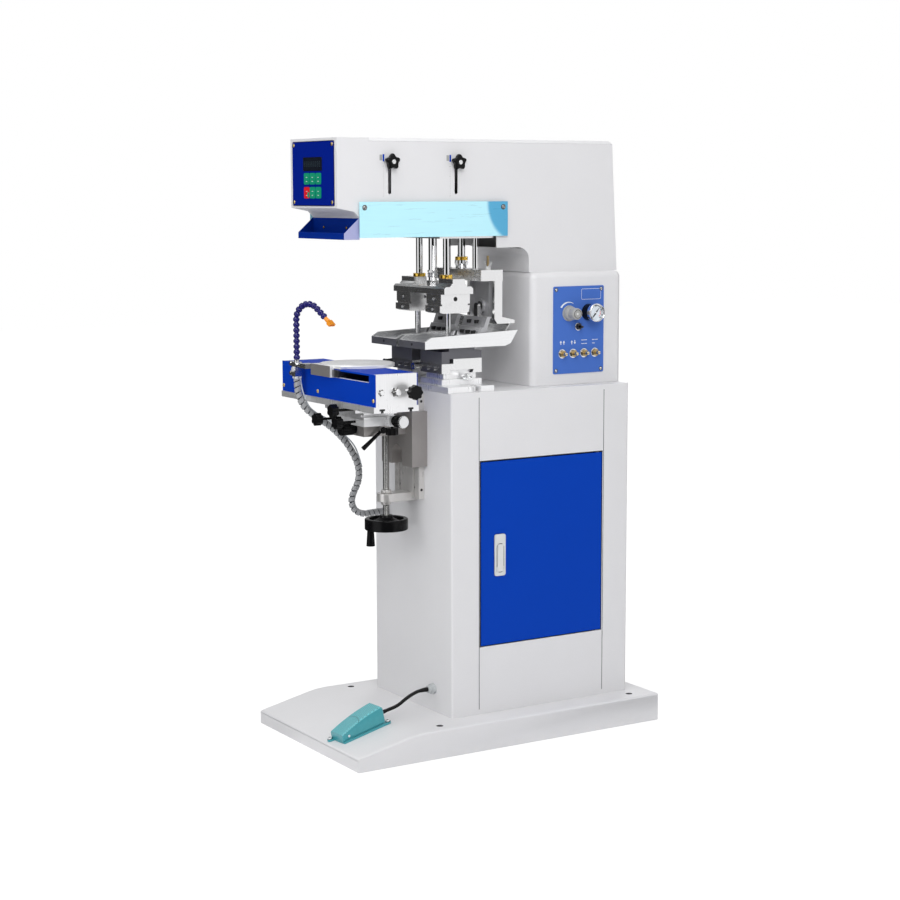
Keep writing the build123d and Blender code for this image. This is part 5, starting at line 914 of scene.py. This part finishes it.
def airPanel(size):
    # plate and frame mark, corner screws, seats of the knobs and the printed marks
    (y, z), (wide, high), face = size["middle"], size["size"], size["face"]
    shapes = [alongX(prism(roundedOutline(wide, high, 4.0), 0, 1.95, 0), (138.05, y, z)),
              alongX(roundedBand(58, 26, 3.5, 0.8, 0, 0.15, 1), (face, 290, 1057))]
    for sy in (-1, 1):
        for sz in (-1, 1):
            spot = (face, y + sy * (wide / 2 - 8), z + sz * (high / 2 - 8))
            shapes += washer(spot, toRight, 5.0, 2.0, 0.25, 3)
            shapes += slotHead(spot, toRight, 3.6, 2.0, 2, 3, 25 * sy + 10 * sz)
    ry, rz = size["regulator"]
    shapes += washer((face, ry, rz), toRight, 19.0, 12.0, 3.0, 4)
    ty, tz = size["toggle"]
    shapes += washer((face, ty, tz), toRight, 9.6, 4.0, 1.0, 2)
    ring = turned([(4.0, 0), (8.5, 0), (8.5, 5.6), (7.6, 7.0), (4.4, 7.0), (4.0, 6.0)], 6, finish=3)
    shapes.append(put(ring, (face, ty, tz), toRight))
    for vy in size["valveY"]:
        shapes += hexNut((face, vy, size["valveZ"]), toRight, 9.5, 5.9, 5, 15)
        shapes += washer((face, vy, size["valveZ"]), toRight, 11.0, 4.0, 0.7, 2)
    top = size["valveZ"] + 27
    for step, vy in enumerate(size["valveY"]):
        # plain marks over the valves: arrows over the first two, bars over the others
        for spot, turn in ((vy - 4, 1), (vy + 5, -1 if step % 2 else 1)):
            if step < 2:
                mark = prism([(-1, -5), (1, -5), (1, 0), (3.4, 0), (0, 5), (-3.4, 0), (-1, 0)],
                             0, 0.15, 1)
            else:
                mark = prism([(-4, -5), (4, -5), (4, -3.6), (-4, -3.6)], 0, 0.15, 1)
                shapes.append(alongX(prism([(-4, 3.6), (4, 3.6), (4, 5), (-4, 5)], 0, 0.15, 1),
                                     (face, spot, top)))
            points, faces, number = mark
            shapes.append(alongX((points * (1, turn, 1), faces, number), (face, spot, top)))
    outer = np.linspace(29, 27, 24)
    arrow = arcStrip(-58, 30, 24, outer, outer - np.linspace(5, 0.8, 24))
    shapes.append(alongX(prism(arrow, 0, 0.15, 1), (face, ry, rz)))
    return shapes


makePiece("airPanelFace", airPanel(air),
          ["panelBlue", "printWhite", "brightSteel", "blackOxide", "greyKnob", "bronzeNut"],
          "frame", ["air_panel"], 0.2)

dial = {"back": 140.0, "face": 171.0, "sweep": 135, "marks": 41, "needle": 40.0}


def gaugeShapes(size, spot):
    # turned case, dial plate, marks of three lengths, the scale's line and a red end
    face = (size["face"], *spot)
    back = (size["back"], *spot)
    body = [(0, 0), (20, 0), (20, 24), (22.5, 25.5), (22.5, 35.2), (21.6, 37.2), (20.6, 38),
            (19.6, 37.4), (19.6, 31), (0, 31)]
    sleeve = [(19.6, 0.2), (20.3, 0.2), (20.3, 23.5), (19.6, 24)]
    shapes = [lathe(body, back, toRight, 64), lathe(sleeve, back, toRight, 64, 2),
              lathe(disc(19.4, 0.3), face, toRight, 64, 1)]
    for step in range(size["marks"]):
        lean = math.radians(-size["sweep"] + step * 6.75)
        start = 14.6 if step % 10 == 0 else (15.6 if step % 5 == 0 else 16.6)
        thick = 0.06 if step % 10 == 0 else 0.028
        corners = [(math.sin(lean + d) * r, math.cos(lean + d) * r)
                   for d, r in ((-thick, start), (thick, start), (thick, 18.2), (-thick, 18.2))]
        shapes.append(alongX(prism(corners, 0.3, 0.42, 2), face))
    for strip, finish in (((-size["sweep"], size["sweep"], 46, 18.6, 18.3), 2),
                          ((70, size["sweep"], 14, 13.6, 12.4), 3)):
        shapes.append(alongX(prism(arcStrip(*strip), 0.3, 0.42, finish), face))
    return shapes


makePiece("pressureGauge", gaugeShapes(dial, air["gauge"]),
          ["groundRod", "dialWhite", "blackPlastic", "keyRed"], "frame",
          ["pressure_gauge"], 0.0)
makePiece("gaugeGlass", [lathe([(0, 0), (19.5, 0), (19.5, 0.8), (12, 1.1), (0, 1.2)],
                               (175.6, *air["gauge"]), toRight, 64)],
          ["gaugeGlass"], "frame")


def needleShapes(size, spot):
    # a tapered hand that leans from upright, and its cap
    lean = math.radians(size["needle"])
    hand = [(-1.2, -14), (1.2, -14), (1.9, 0), (0.6, 13), (-0.6, 13), (-1.9, 0)]
    turn = [(x * math.cos(lean) + z * math.sin(lean), z * math.cos(lean) - x * math.sin(lean))
            for x, z in hand]
    return [alongX(prism(turn, 0.8, 1.3, 0), (size["face"], *spot)),
            lathe([(0, 0.4), (2.4, 0.4), (2.4, 1.4), (1.6, 2.0), (0, 2.1)],
                  (size["face"], *spot), toRight, 24, 1)]


makePiece("gaugeNeedle", needleShapes(dial, air["gauge"]), ["blackPlastic", "brightSteel"],
          "needle", ["gauge_needle"], 0.1)


def regulatorShapes(spot):
    # radius = profile x (1 - 0.06 x squared positive half of a 24-fold wave) on the grip
    def wave(angle, reach, level):
        ripple = np.maximum(0, np.cos(24 * angle)) ** 2
        grip = ((reach > 13) & (level > 13) & (level < 33)).astype(float)
        return reach * (1 - 0.06 * ripple * grip)

    profile = [(0, 0), (15.6, 0), (16.5, 1.2), (16.5, 9.5), (15.4, 11.6), (13.6, 12.6), (14, 14),
               (14, 31), (13.2, 33.6), (11.4, 35), (8, 34.6), (7.4, 34), (0, 34)]
    return [lathe(profile, (143.0, *spot), toRight, 144, 0, wave),
            lathe([(0, 33.9), (3.0, 33.9), (2.6, 34.6), (0, 34.7)], (143.0, *spot), toRight, 24, 1),
            *washer((177.2, *spot), toRight, 10.6, 9.4, 0.9, 2)]


makePiece("regulatorKnob", regulatorShapes(air["regulator"]),
          ["greyKnob", "palePlastic", "dullBlack"], "regulator",
          ["regulator_knob"])
bat = [(0, -3.3), (1.9, -2.8), (3.3, -0.8), (3.3, 0.8), (2.2, 2.4), (1.9, 8), (2.2, 11),
       (2.9, 14), (3.0, 15.2), (2.3, 16.3), (0, 16.5)]
makePiece("toggleLever", [lathe(bat, (143.5, *air["toggle"]), toRight)], ["blackOxide"],
          "toggle", ["toggle_lever"])


def valveKnob(spot):
    # radius = profile x (1 - 0.07 x a 22-fold wave) on the grip; a dark bar on the end is painted
    # shade for its slot
    def wave(angle, reach, level):
        ripple = 0.5 + 0.5 * np.cos(22 * angle)
        grip = ((reach > 4.0) & (level > 7) & (level < 18)).astype(float)
        return reach * (1 - 0.07 * ripple * grip)

    profile = [(0, 0.2), (2.9, 0.2), (2.9, 6.2), (4.2, 6.3), (4.4, 7.4), (4.4, 17.2), (4.1, 18.6),
               (3.2, 19.6), (0, 19.8)]
    return [lathe(profile, spot, toRight, 88, 0, wave),
            alongX(slab((-3.1, -0.5, 19.4), (3.1, 0.5, 19.95), 1), spot)]


for step, vy in enumerate(air["valveY"], 1):
    makePiece("valveKnob%d" % step, valveKnob((air["face"], vy, air["valveZ"])),
              ["paleBrass", "blackOxide"], "valve_%d" % step, ["flow_valve_%d" % step])
print("air panel made")


# stroke stops: washer, neck and a five-lobed grip over each slot

stops = {"face": 113.2, "level": 1371.0, "slots": {"Front": -257.0, "Rear": -79.0},
         "neck": [(0, 1.6), (6.2, 1.6), (7, 2.6), (7, 7.4), (6.4, 8), (0, 8)],
         "cap": [(0, 0), (5.4, 0), (5.0, 0.8), (4.2, 1.0), (0, 1.0)]}
for name, y in stops["slots"].items():
    z = stops["level"]
    shapes = washer((stops["face"], y, z), toRight, 9.0, 3.0, 2.0, 0)
    shapes.append(lathe(stops["neck"], (stops["face"], y, z), toRight, 32, 1))
    shapes += lobedKnob((121.0, y, z), toRight, 18.8, 13.2, 5, 0.3, 1, 20)
    shapes.append(lathe(stops["cap"], (133.6, y, z), toRight, 32))
    shapes.append(slab((98.8, y - 8, z - 8), (108.8, y + 8, z + 8), 0))
    shapes.append(lathe(disc(3.6, 6), (108.0, y, z), toRight, 20))
    makePiece("stopKnob" + name, shapes, ["brightSteel", "blackPlastic"],
              name.lower() + "_stop", ["stop_knob_" + name.lower()], 0.3)
print("stop knobs made")


# lead screw: one helical thread between two turned collars

thread = {"spot": (0.0, -207.0), "low": 503.0, "top": 790.0, "radius": 8.0, "pitch": 3.0,
          "deep": 0.9, "sides": 28, "collars": (563.2, 591.2), "wheel": 520}


def threadShape(size):
    # radius falls by a rounded saw that climbs one pitch a turn
    sides = size["sides"]
    levels = np.arange(size["low"], size["top"], size["pitch"] / 6)
    angle = np.arange(sides)[:, None] * 2 * np.pi / sides
    phase = levels[None, :] / size["pitch"] - angle / (2 * np.pi)
    saw = abs((phase % 1) * 2 - 1)
    radius = size["radius"] - size["deep"] * np.clip(saw * 1.6 - 0.3, 0, 1)
    x, y = size["spot"]
    points = np.stack([x + radius * np.cos(angle), y + radius * np.sin(angle),
                       levels[None, :] + 0 * angle], -1).reshape(-1, 3)
    rows = len(levels)
    faces = gridFaces(sides, rows, closeRows=True)
    faces += [[side * rows for side in range(sides)][::-1],
              [side * rows + rows - 1 for side in range(sides)]]
    return points, faces, 0


collar = turned([(7.0, 0), (11.2, 0), (12, 0.8), (12, 6.8), (11.2, 7.6), (7.0, 7.6)], 40,
                finish=1)
makePiece("leadScrew", [threadShape(thread), *(put(collar, (*thread["spot"], low))
                                               for low in thread["collars"])],
          ["screwSteel", "steelAlongZ"], "wheel", ["lead_screw"], 0.0, 50.0)


def hubWave(angle, reach, level):
    # five slight swells round the hub's foot
    return reach * (1 - 0.02 * (0.5 + 0.5 * np.cos(5 * angle)) * (reach > 17))


hub = turned([(15, 0), (40, 0), (40.5, 1.2), (30, 5.2), (20, 9.2), (16.5, 12), (15.6, 17),
              (14.6, 18.4), (9, 18.6), (9, 6)], 64, hubWave)
makePiece("wheelHub", [put(hub, (*thread["spot"], thread["wheel"]))], ["blackPlastic"], "wheel")


# blade head: rods, a coil spring under the ring and the ring itself

def coil(spot, radius, wire, low, high, turns, finish=0):
    # a wire that climbs from low to high in its turns round the spot
    swing = np.linspace(0, turns * 2 * np.pi, int(turns * 24))
    rise = np.linspace(low, high, len(swing))
    x, y = spot
    path = np.column_stack([x + radius * np.cos(swing), y + radius * np.sin(swing), rise])
    return tubeAlong(path, wire, 8, toTop, finish)


def wingNut(spot, finish=0):
    # a turned hub with two rounded wings that rise along y
    x, y, z = spot
    hub = turned([(8.2, 0), (12, 0), (12.4, 3), (10.4, 8), (9.8, 11), (8.2, 11)], 32, finish=finish)
    shapes = [put(hub, spot)]
    for turn in (-1, 1):
        wing = [(9, 2), (13, 4), (17, 9), (18.4, 14), (17, 17.4), (13.6, 17), (11.4, 12), (9, 9)]
        shapes.append(alongX(prism([(across * turn, rise) for across, rise in wing], -1.8, 1.8,
                                   finish), (x, y, z)))
    return shapes


def notchedRing(place, radius, inner, height, notches, finish=0):
    # the ring's radius drops at each notch: radius x (1 - 0.07 x narrow wave of the angle)
    def wave(angle, reach, level):
        cut = np.clip(np.cos(notches * angle) * 3 - 1.6, 0, 1)
        return reach * (1 - 0.07 * cut * (reach > radius * 0.9))

    ring = turned([(inner, 0.1), (radius * 0.95, 0.1), (radius, 0.9), (radius, height - 0.9),
                   (radius * 0.95, height), (inner, height)], notches * 10, wave, finish)
    return [put(ring, place)]


rods = {"x": (-62, 62), "bladeY": 6, "bladeFoot": 1120, "padY": -75}
x, y, z = 0, rods["bladeY"], rods["bladeFoot"]
shapes = wingNut((x, y, z + 1.0), 1)
for x in rods["x"]:
    rod = turned([(0, 0), (7, 0), (7, 137), (6, 138), (0, 138)], 40, finish=0)
    shapes += [put(rod, (x, y, z)), *washer((x, y, z), toTop, 10.5, 7.0, 1.6, 1)]
piston = turned([(0, 0), (8.4, 0), (9, 0.8), (9, 119), (8, 120), (0, 120)], 40, finish=0)
shapes += [put(piston, (0, y, z)), *notchedRing((0, y, z + 20), 15.2, 8.0, 8.9, 16, 2)]
makePiece("bladeRods", shapes, ["groundRod", "brightSteel", "brass"], "blade_head",
          ["blade_rods"])
y = rods["padY"]
shapes = [ring for x in rods["x"] for ring in notchedRing((x, y, 1100.9), 14.9, 7.9, 8.3, 16, 0)]
shapes += [coil((0, y), 11.4, 1.3, 1100.0, 1111.5, 3.0, 1),
           *hexNut((0, y, 1112.5), toTop, 13.0, 6.0, 1, 12)]
makePiece("padRodRings", shapes, ["brass", "brightSteel"], "pad_head")
print("rods, rings and lead screw made")


# screws that the CAD leaves out or keeps plain

screws = {"holderX": 70, "holder": ((-115.0, 1053.5), (-118.0, 1029.0)), "trayX": 66.0,
          "boss": (15.6, 1033.0), "guideX": 34, "guide": (604, 806), "guideSide": (600, 812),
          "guardX": 121.0, "guard": ((-327.0, 1268.0), (47.0, 1268.0))}
shapes = []
for x in (-screws["holderX"], screws["holderX"]):
    for y, z in screws["holder"]:
        shapes += washer((x, y, z), toFront, 6.6, 1.0, 0.4, 1)
        shapes += slotHead((x, y - 0.3, z), toFront, 4.0, 2.2, 0, 1)
shapes += screwHead((102.0, -75.0, 1053.5), toRight, 5.4, 1.4, 1, 1)
shapes += [slab((101.9, -98.0, 1062.0), (102.25, -58.0, 1064.0), 1),
           slab((101.9, -104.0, 1036.8), (102.25, -50.0, 1038.6), 1)]
makePiece("padHolderScrews", shapes, ["zincScrew", "dullBlack"], "pad_head")

shapes = []
y, z = screws["boss"]
for x in (-screws["trayX"], screws["trayX"]):
    shapes += washer((x, y + 0.3, z), toFront, 11.6, 2.0, 0.7, 1)
    shapes += screwHead((x, y, z), toFront, 8.2, 4.2, 0, 1)
makePiece("bladeBossScrews", shapes, ["screwSteel", "dullBlack"], "blade_head")

shapes = []
for x in (-screws["guideX"], screws["guideX"]):
    for z in screws["guide"]:
        shapes += slotHead((x, -145.4, z), toFront, 3.6, 2.0, 0, 1)
for z in screws["guideSide"]:
    shapes.append(lathe(disc(3.4, 0.02), (57.0, -142.5, z), toRight, 20, 1))
makePiece("guideScrews", shapes, ["blackOxide", "dullBlack"], "frame")

shapes = []
for y, z in screws["guard"]:
    for side in (-1, 1):
        shapes += washer((side * screws["guardX"], y, z), (side, 0, 0), 6.2, 2.0, 0.5, 1)
        shapes += slotHead((side * screws["guardX"], y, z), (side, 0, 0), 4.8, 2.6, 0, 1, 30 + y)
makePiece("guardScrews", shapes, ["screwSteel", "blackOxide"], "frame")

# marks beside the stop slots, each with a blue scrap and a grey patch
shapes = []
for y in stops["slots"].values():
    for step in range(13):
        long = 3.0 if step % 4 == 0 else 1.6
        z = 1294.0 + step * 5.6
        shapes.append(slab((113.0, y - 15 - long, z - 0.5), (113.12, y - 15, z + 0.5)))
    shapes.append(slab((113.0, y - 18.0, 1372.0), (113.12, y - 13.5, 1388.0), 1))
    shapes.append(slab((113.0, y - 26.0, 1374.0), (113.08, y - 19.0, 1387.0), 0))
makePiece("stopMarks", shapes, ["greyKnob", "bluePaint"], "frame")

# painted shade: a black disc on each tray's front for its hole
for side, x in (("Left", -screws["trayX"]), ("Right", screws["trayX"])):
    hole = lathe(disc(3.5, 0.1), (x, -172.98, 949.0), toFront)
    makePiece("trayHole" + side, [hole], ["dullBlack"], "tray_" + side.lower())

shuttleEnd = {"face": 228.0, "screw": (-348.0, 858.0), "jam": (-311.0, 858.0),
              "coverScrews": (-220.0, -45.0, 220.0), "front": -364.0, "slots": (-346.0, -272.0)}


def shuttleFittings(size):
    # star screws on slightly larger dark lobed plates, two T slots in the end drawn as black slabs
    # of painted shade, cover screws, a pale strip along the slot's lower edge
    face = size["face"]
    y, z = size["screw"]
    shapes = lobedKnob((face, y, z), toRight, 8.0, 0.5, 6, 0.34, 1, 10)
    shapes += lobedKnob((face + 0.4, y, z), toRight, 6.6, 5.4, 6, 0.34, 0, 10)
    y, z = size["jam"]
    shapes += lobedKnob((face, y, z), toRight, 11.2, 0.5, 6, 0.4, 1, 0)
    shapes += lobedKnob((face + 0.4, y, z), toRight, 9.6, 7.0, 6, 0.4, 0, 0)
    shapes += hexNut((face + 7.2, y, z), toRight, 5.0, 3.0, 1, 10)
    for y in size["slots"]:
        shapes.append(slab((face - 2.0, y - 7.0, 816.8), (face + 0.05, y + 7.0, 821.4), 2))
        shapes.append(slab((face - 2.0, y - 3.4, 812.1), (face + 0.05, y + 3.4, 816.9), 2))
    for x in size["coverScrews"]:
        shapes += slotHead((x, size["front"], 840.0), toFront, 4.4, 2.6, 3, 1, 50 + x)
    shapes.append(slab((-60, size["front"] - 0.25, 879.2), (200, size["front"] + 1.4, 880.9), 4))
    return shapes


makePiece("shuttleFittings", shuttleFittings(shuttleEnd),
          ["screwSteel", "blackOxide", "dullBlack", "goldScrew", "zincScrew"], "shuttle")


fitting = {"spot": (-112.0, -384.0), "elbows": (876.5, 899.5),
           "ring": [(5, 0), (7.0, 0), (7.2, 0.6), (7.2, 2.6), (7.0, 3.2), (5, 3.2)],
           "tip": [(0, 0), (4.2, 0), (4.4, 3.6), (3.4, 4.6), (0, 4.8)],
           "bore": [(0, 4.8), (2.4, 4.8), (2.4, 5.6), (0, 5.6)],
           "collar": [(0, 0), (3.6, 0), (4.0, 0.6), (4.0, 4.6), (3.4, 5.4), (0, 5.4)]}


def airFitting(size):
    # rings and tips on the two elbows, pale collars under the block
    x, y = size["spot"]
    shapes = []
    for z in size["elbows"]:
        shapes += [lathe(size["ring"], (x - 9.0, y, z), toLeft),
                   lathe(size["tip"], (x - 28.0, y, z), toLeft, 20),
                   # painted shade: a black disc on each tip's end for its bore
                   lathe(size["bore"], (x - 28.0, y, z), toLeft, 16, 2)]
    for dx, dy in ((-5.5, -4.5), (5.5, -4.5), (5.0, 5.5)):
        shapes.append(lathe(size["collar"], (x + dx, y + dy, 871.0), (0, 0, -1), 20, 1))
    shapes += hexNut((x, y - 9.0, 888.0), toFront, 6.4, 3.0, 0, 8)
    return shapes


makePiece("airFitting", airFitting(fitting), ["zincScrew", "palePlastic", "dullBlack"],
          "shuttle")

# door: painted shade strips on the column beside and over the door's gap, and painted shade lines
# round the lock
lock = {"middle": (-2.0, 449.0), "lever": (-2.0, 442.0), "plate": 185.0}
shapes = [slab((180.98, -57.6, 230.0), (181.06, -55.8, 677.4)),
          slab((180.98, -57.6, 675.8), (181.06, 298.6, 677.4))]
makePiece("doorGap", shapes, ["dullBlack"], "frame")
# painted shade: dark lines round the lock plate and round its lever
shapes = [alongX(roundedBand(31.2, 101.2, 5.4, 0.9, 0, 0.5, 0), (181.0, *lock["middle"])),
          alongX(roundedBand(21.0, 70.5, 10.2, 1.3, 0, 0.08, 0), (lock["plate"], *lock["lever"]))]
makePiece("lockPaintedShadeLines", shapes, ["dullBlack"], "door")

# foot switch: lug screws, pin heads and short ribs, drawn in the switch's own frame
footPlace = {"place": (110.0, -346.0, 50.95), "slope": 12.57, "turn": 4.0, "lug": (22.0, 68.0),
             "pin": (25.5, -43.0, 13.0), "ribs": 25}


def onFoot(shapes, size):
    # from the switch's own frame to the part's
    turn = np.array(Matrix.Rotation(math.radians(size["slope"]), 3, "X")
                    @ Matrix.Rotation(math.radians(size["turn"]), 3, "Z"))
    return [(points @ turn.T + np.array(size["place"]), faces, number)
            for points, faces, number in shapes]


def footDetails(size):
    # on both sides: a lug's screw on its washer, a pin's head and a row of short ribs
    shapes = []
    lugX, lugY = size["lug"]
    pinX, pinY, pinZ = size["pin"]
    for side in (-1, 1):
        shapes += washer((side * lugX, side * lugY, 5.0), toTop, 6.0, 2.0, 0.6, 1)
        shapes += screwHead((side * lugX, side * lugY, 5.2), toTop, 4.6, 4.0, 0, 1)
        shapes.append(lathe([(0, 0), (3.0, 0), (3.0, 0.7), (2.2, 1.3), (0, 1.4)],
                            (side * pinX, pinY, pinZ), (side, 0, 0), 20))
        for step in range(size["ribs"]):
            y = -54 + step * 4.4
            low, high = sorted((side * 25.2, side * 28.4))
            shapes.append(slab((low, y, 4.9), (high, y + 1.9, 8.0), 2))
    return onFoot(shapes, size)


makePiece("footDetails", footDetails(footPlace), ["zincScrew", "dullBlack", "footEnamel"],
          "frame")
makePiece("glandNut", hexNut((98.0, -135.2, 124.0), toFront, 13.4, 4.6, 0, 10),
          ["glandGrey"], "frame")
print("screws and fittings set")


# cords: the routes repeat the CAD tubes' points, in metres

def smoothCord(name, points, diameter, material):
    # an open NURBS curve with those points as its control points
    curve = bpy.data.curves.new(name, "CURVE")
    curve.dimensions = "3D"
    spline = curve.splines.new("NURBS")
    spline.points.add(len(points) - 1)
    for point, place in zip(spline.points, points):
        point.co = (*place, 1)
    spline.order_u = 3
    spline.use_endpoint_u = True
    spline.resolution_u = 8
    curve.bevel_depth = diameter / 2
    curve.bevel_resolution = 4
    curve.use_fill_caps = True
    curve.materials.append(finishes[material])
    piece = bpy.data.objects.new(name, curve)
    scene.collection.objects.link(piece)
    return piece


def centreLine(piece):
    # points along a cord's smooth line, in metres
    bare = piece.data.copy()
    bare.bevel_depth = 0
    probe = bpy.data.objects.new("probe", bare)
    scene.collection.objects.link(probe)
    bpy.context.view_layer.update()
    mesh = bpy.data.meshes.new_from_object(probe)
    line = np.empty(len(mesh.vertices) * 3)
    mesh.vertices.foreach_get("co", line)
    bpy.data.objects.remove(probe)
    return line.reshape(-1, 3)


def evenLine(line, step):
    # the same line with points a fixed step apart
    gaps = np.linalg.norm(np.diff(line, axis=0), axis=1)
    reach = np.concatenate([[0], np.cumsum(gaps)])
    count = max(int(reach[-1] / step), 2)
    spots = np.linspace(0, reach[-1], count)
    return np.column_stack([np.interp(spots, reach, line[:, axis]) for axis in range(3)])


wrap = {
    "points": [(-0.112, -0.384, 0.871), (-0.112, -0.384, 0.84609), (-0.10992, -0.37985, 0.8191),
               (-0.10716, -0.36601, 0.79384), (-0.10404, -0.34213, 0.77412),
               (-0.10197, -0.31203, 0.75509), (-0.09989, -0.28297, 0.73087),
               (-0.09989, -0.25806, 0.70388), (-0.10093, -0.24006, 0.67689),
               (-0.10197, -0.22692, 0.64991), (-0.10404, -0.22207, 0.62396),
               (-0.10612, -0.22588, 0.60112), (-0.10992, -0.23591, 0.58001),
               (-0.11408, -0.24006, 0.55683), (-0.11684, -0.22899, 0.534),
               (-0.11892, -0.20512, 0.52292), (-0.11996, -0.17605, 0.525), (-0.12, -0.141, 0.525)],
    "length": 0.495, "core": 0.0116, "outer": 0.0164, "turn": 13.6, "band": 11.6, "thick": 1.5,
}


def spiralBand(line, radius, turnLength, band, thick):
    # a flat ribbon wound round a line: two edges a band apart, with a thickness outwards
    pace = 0.7
    path = evenLine(line / millimetre, pace)
    ahead, side, lift = waysAlong(path, toRight)
    angle = (np.arange(len(path)) * pace / turnLength * 2 * np.pi)[:, None]
    out = np.cos(angle) * side + np.sin(angle) * lift
    half = ahead * band / 2
    inner = radius - thick
    rings = np.stack([path + out * inner - half, path + out * radius - half * 0.86,
                      path + out * radius + half * 0.86, path + out * inner + half], 1)
    faces = gridFaces(len(path), 4, closeColumns=True)
    last = (len(path) - 1) * 4
    faces += [[3, 2, 1, 0], [last, last + 1, last + 2, last + 3]]
    return rings.reshape(-1, 3), faces, 0


def besideLine(line, radius, gap, wobble, first, last):
    # a thin tube beside a cord: its distance off the cord's middle = gap + wobble x the square
    # of a slow wave
    path = evenLine(line / millimetre, 2.0)
    share = np.linspace(0, 1, len(path))
    swell = (gap + wobble * np.sin(share * 5.2 * np.pi) ** 2)[:, None]
    away = path + swell * np.array((0.35, 0.80, 0.48))
    return tubeAlong(away[int(first * len(path)):int(last * len(path))], radius, 10, toRight)


route = smoothCord("bundleRoute", wrap["points"], 0.004, "innerTube")
bundleLine = centreLine(route)
bpy.data.objects.remove(route)
core = evenLine(bundleLine / millimetre, 2.5)
# the core stands for the tubes inside the wrap; its near-black tone is painted shade seen between
# the wrap's turns
bundle = makePiece(
    "tubeBundleCore", [tubeAlong(core, wrap["core"] / millimetre / 2, 20, toRight)],
    ["innerTube"], None, ["tube_bundle"])
spiral = makePiece("tubeBundleWrap", [spiralBand(
    bundleLine, wrap["outer"] / millimetre / 2, wrap["turn"], wrap["band"], wrap["thick"])],
    ["wrapGrey"], None)
tubes = makePiece("tubeBundleSide", [besideLine(bundleLine, 1.9, 8.4, 3.4, 0.02, 0.60)],
                  ["clearTube"], None)
for piece in (bundle, spiral, tubes):
    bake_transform(piece)

lead = {
    "points": [(0.098, -0.153, 0.124), (0.098, -0.174, 0.124), (0.09917, -0.19205, 0.11988),
               (0.10302, -0.2158, 0.11114), (0.10704, -0.2405, 0.09803),
               (0.10414, -0.269, 0.09065), (0.10561, -0.28945, 0.08609)],
    "diameter": 0.007, "length": 0.1436,
}
cable = smoothCord("footCable", lead["points"], lead["diameter"], "cableBlack")
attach(cable, "frame")
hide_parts("foot_cable")


def reliefShape(line, first, last, ribs, long):
    # a tapered sleeve along the start of a cord: radius = taper + 0.7 x a wave for the ribs
    pace = 0.6
    path = evenLine(line / millimetre, pace)
    path = path[:int(long / pace)]
    share = np.linspace(0, 1, len(path))
    ripple = 0.5 + 0.5 * np.cos(share * ribs * 2 * np.pi)
    radius = first + (last - first) * share + 0.7 * ripple * (share > 0.08) * (share < 0.94)
    return tubeAlong(path, radius, 20, toTop)


cableLine = centreLine(cable)
reliefs = [
    makePiece(name, [reliefShape(line, *sizes)], ["cableBlack"], "frame")
    for name, line, sizes in (("cableReliefColumn", cableLine, (5.4, 3.9, 6, 22)),
                              ("cableReliefSwitch", cableLine[::-1], (5.0, 3.9, 5, 20)),
                              ("cableRibs", cableLine, (3.7, 3.7, 40, 142)))]
print("cords laid")
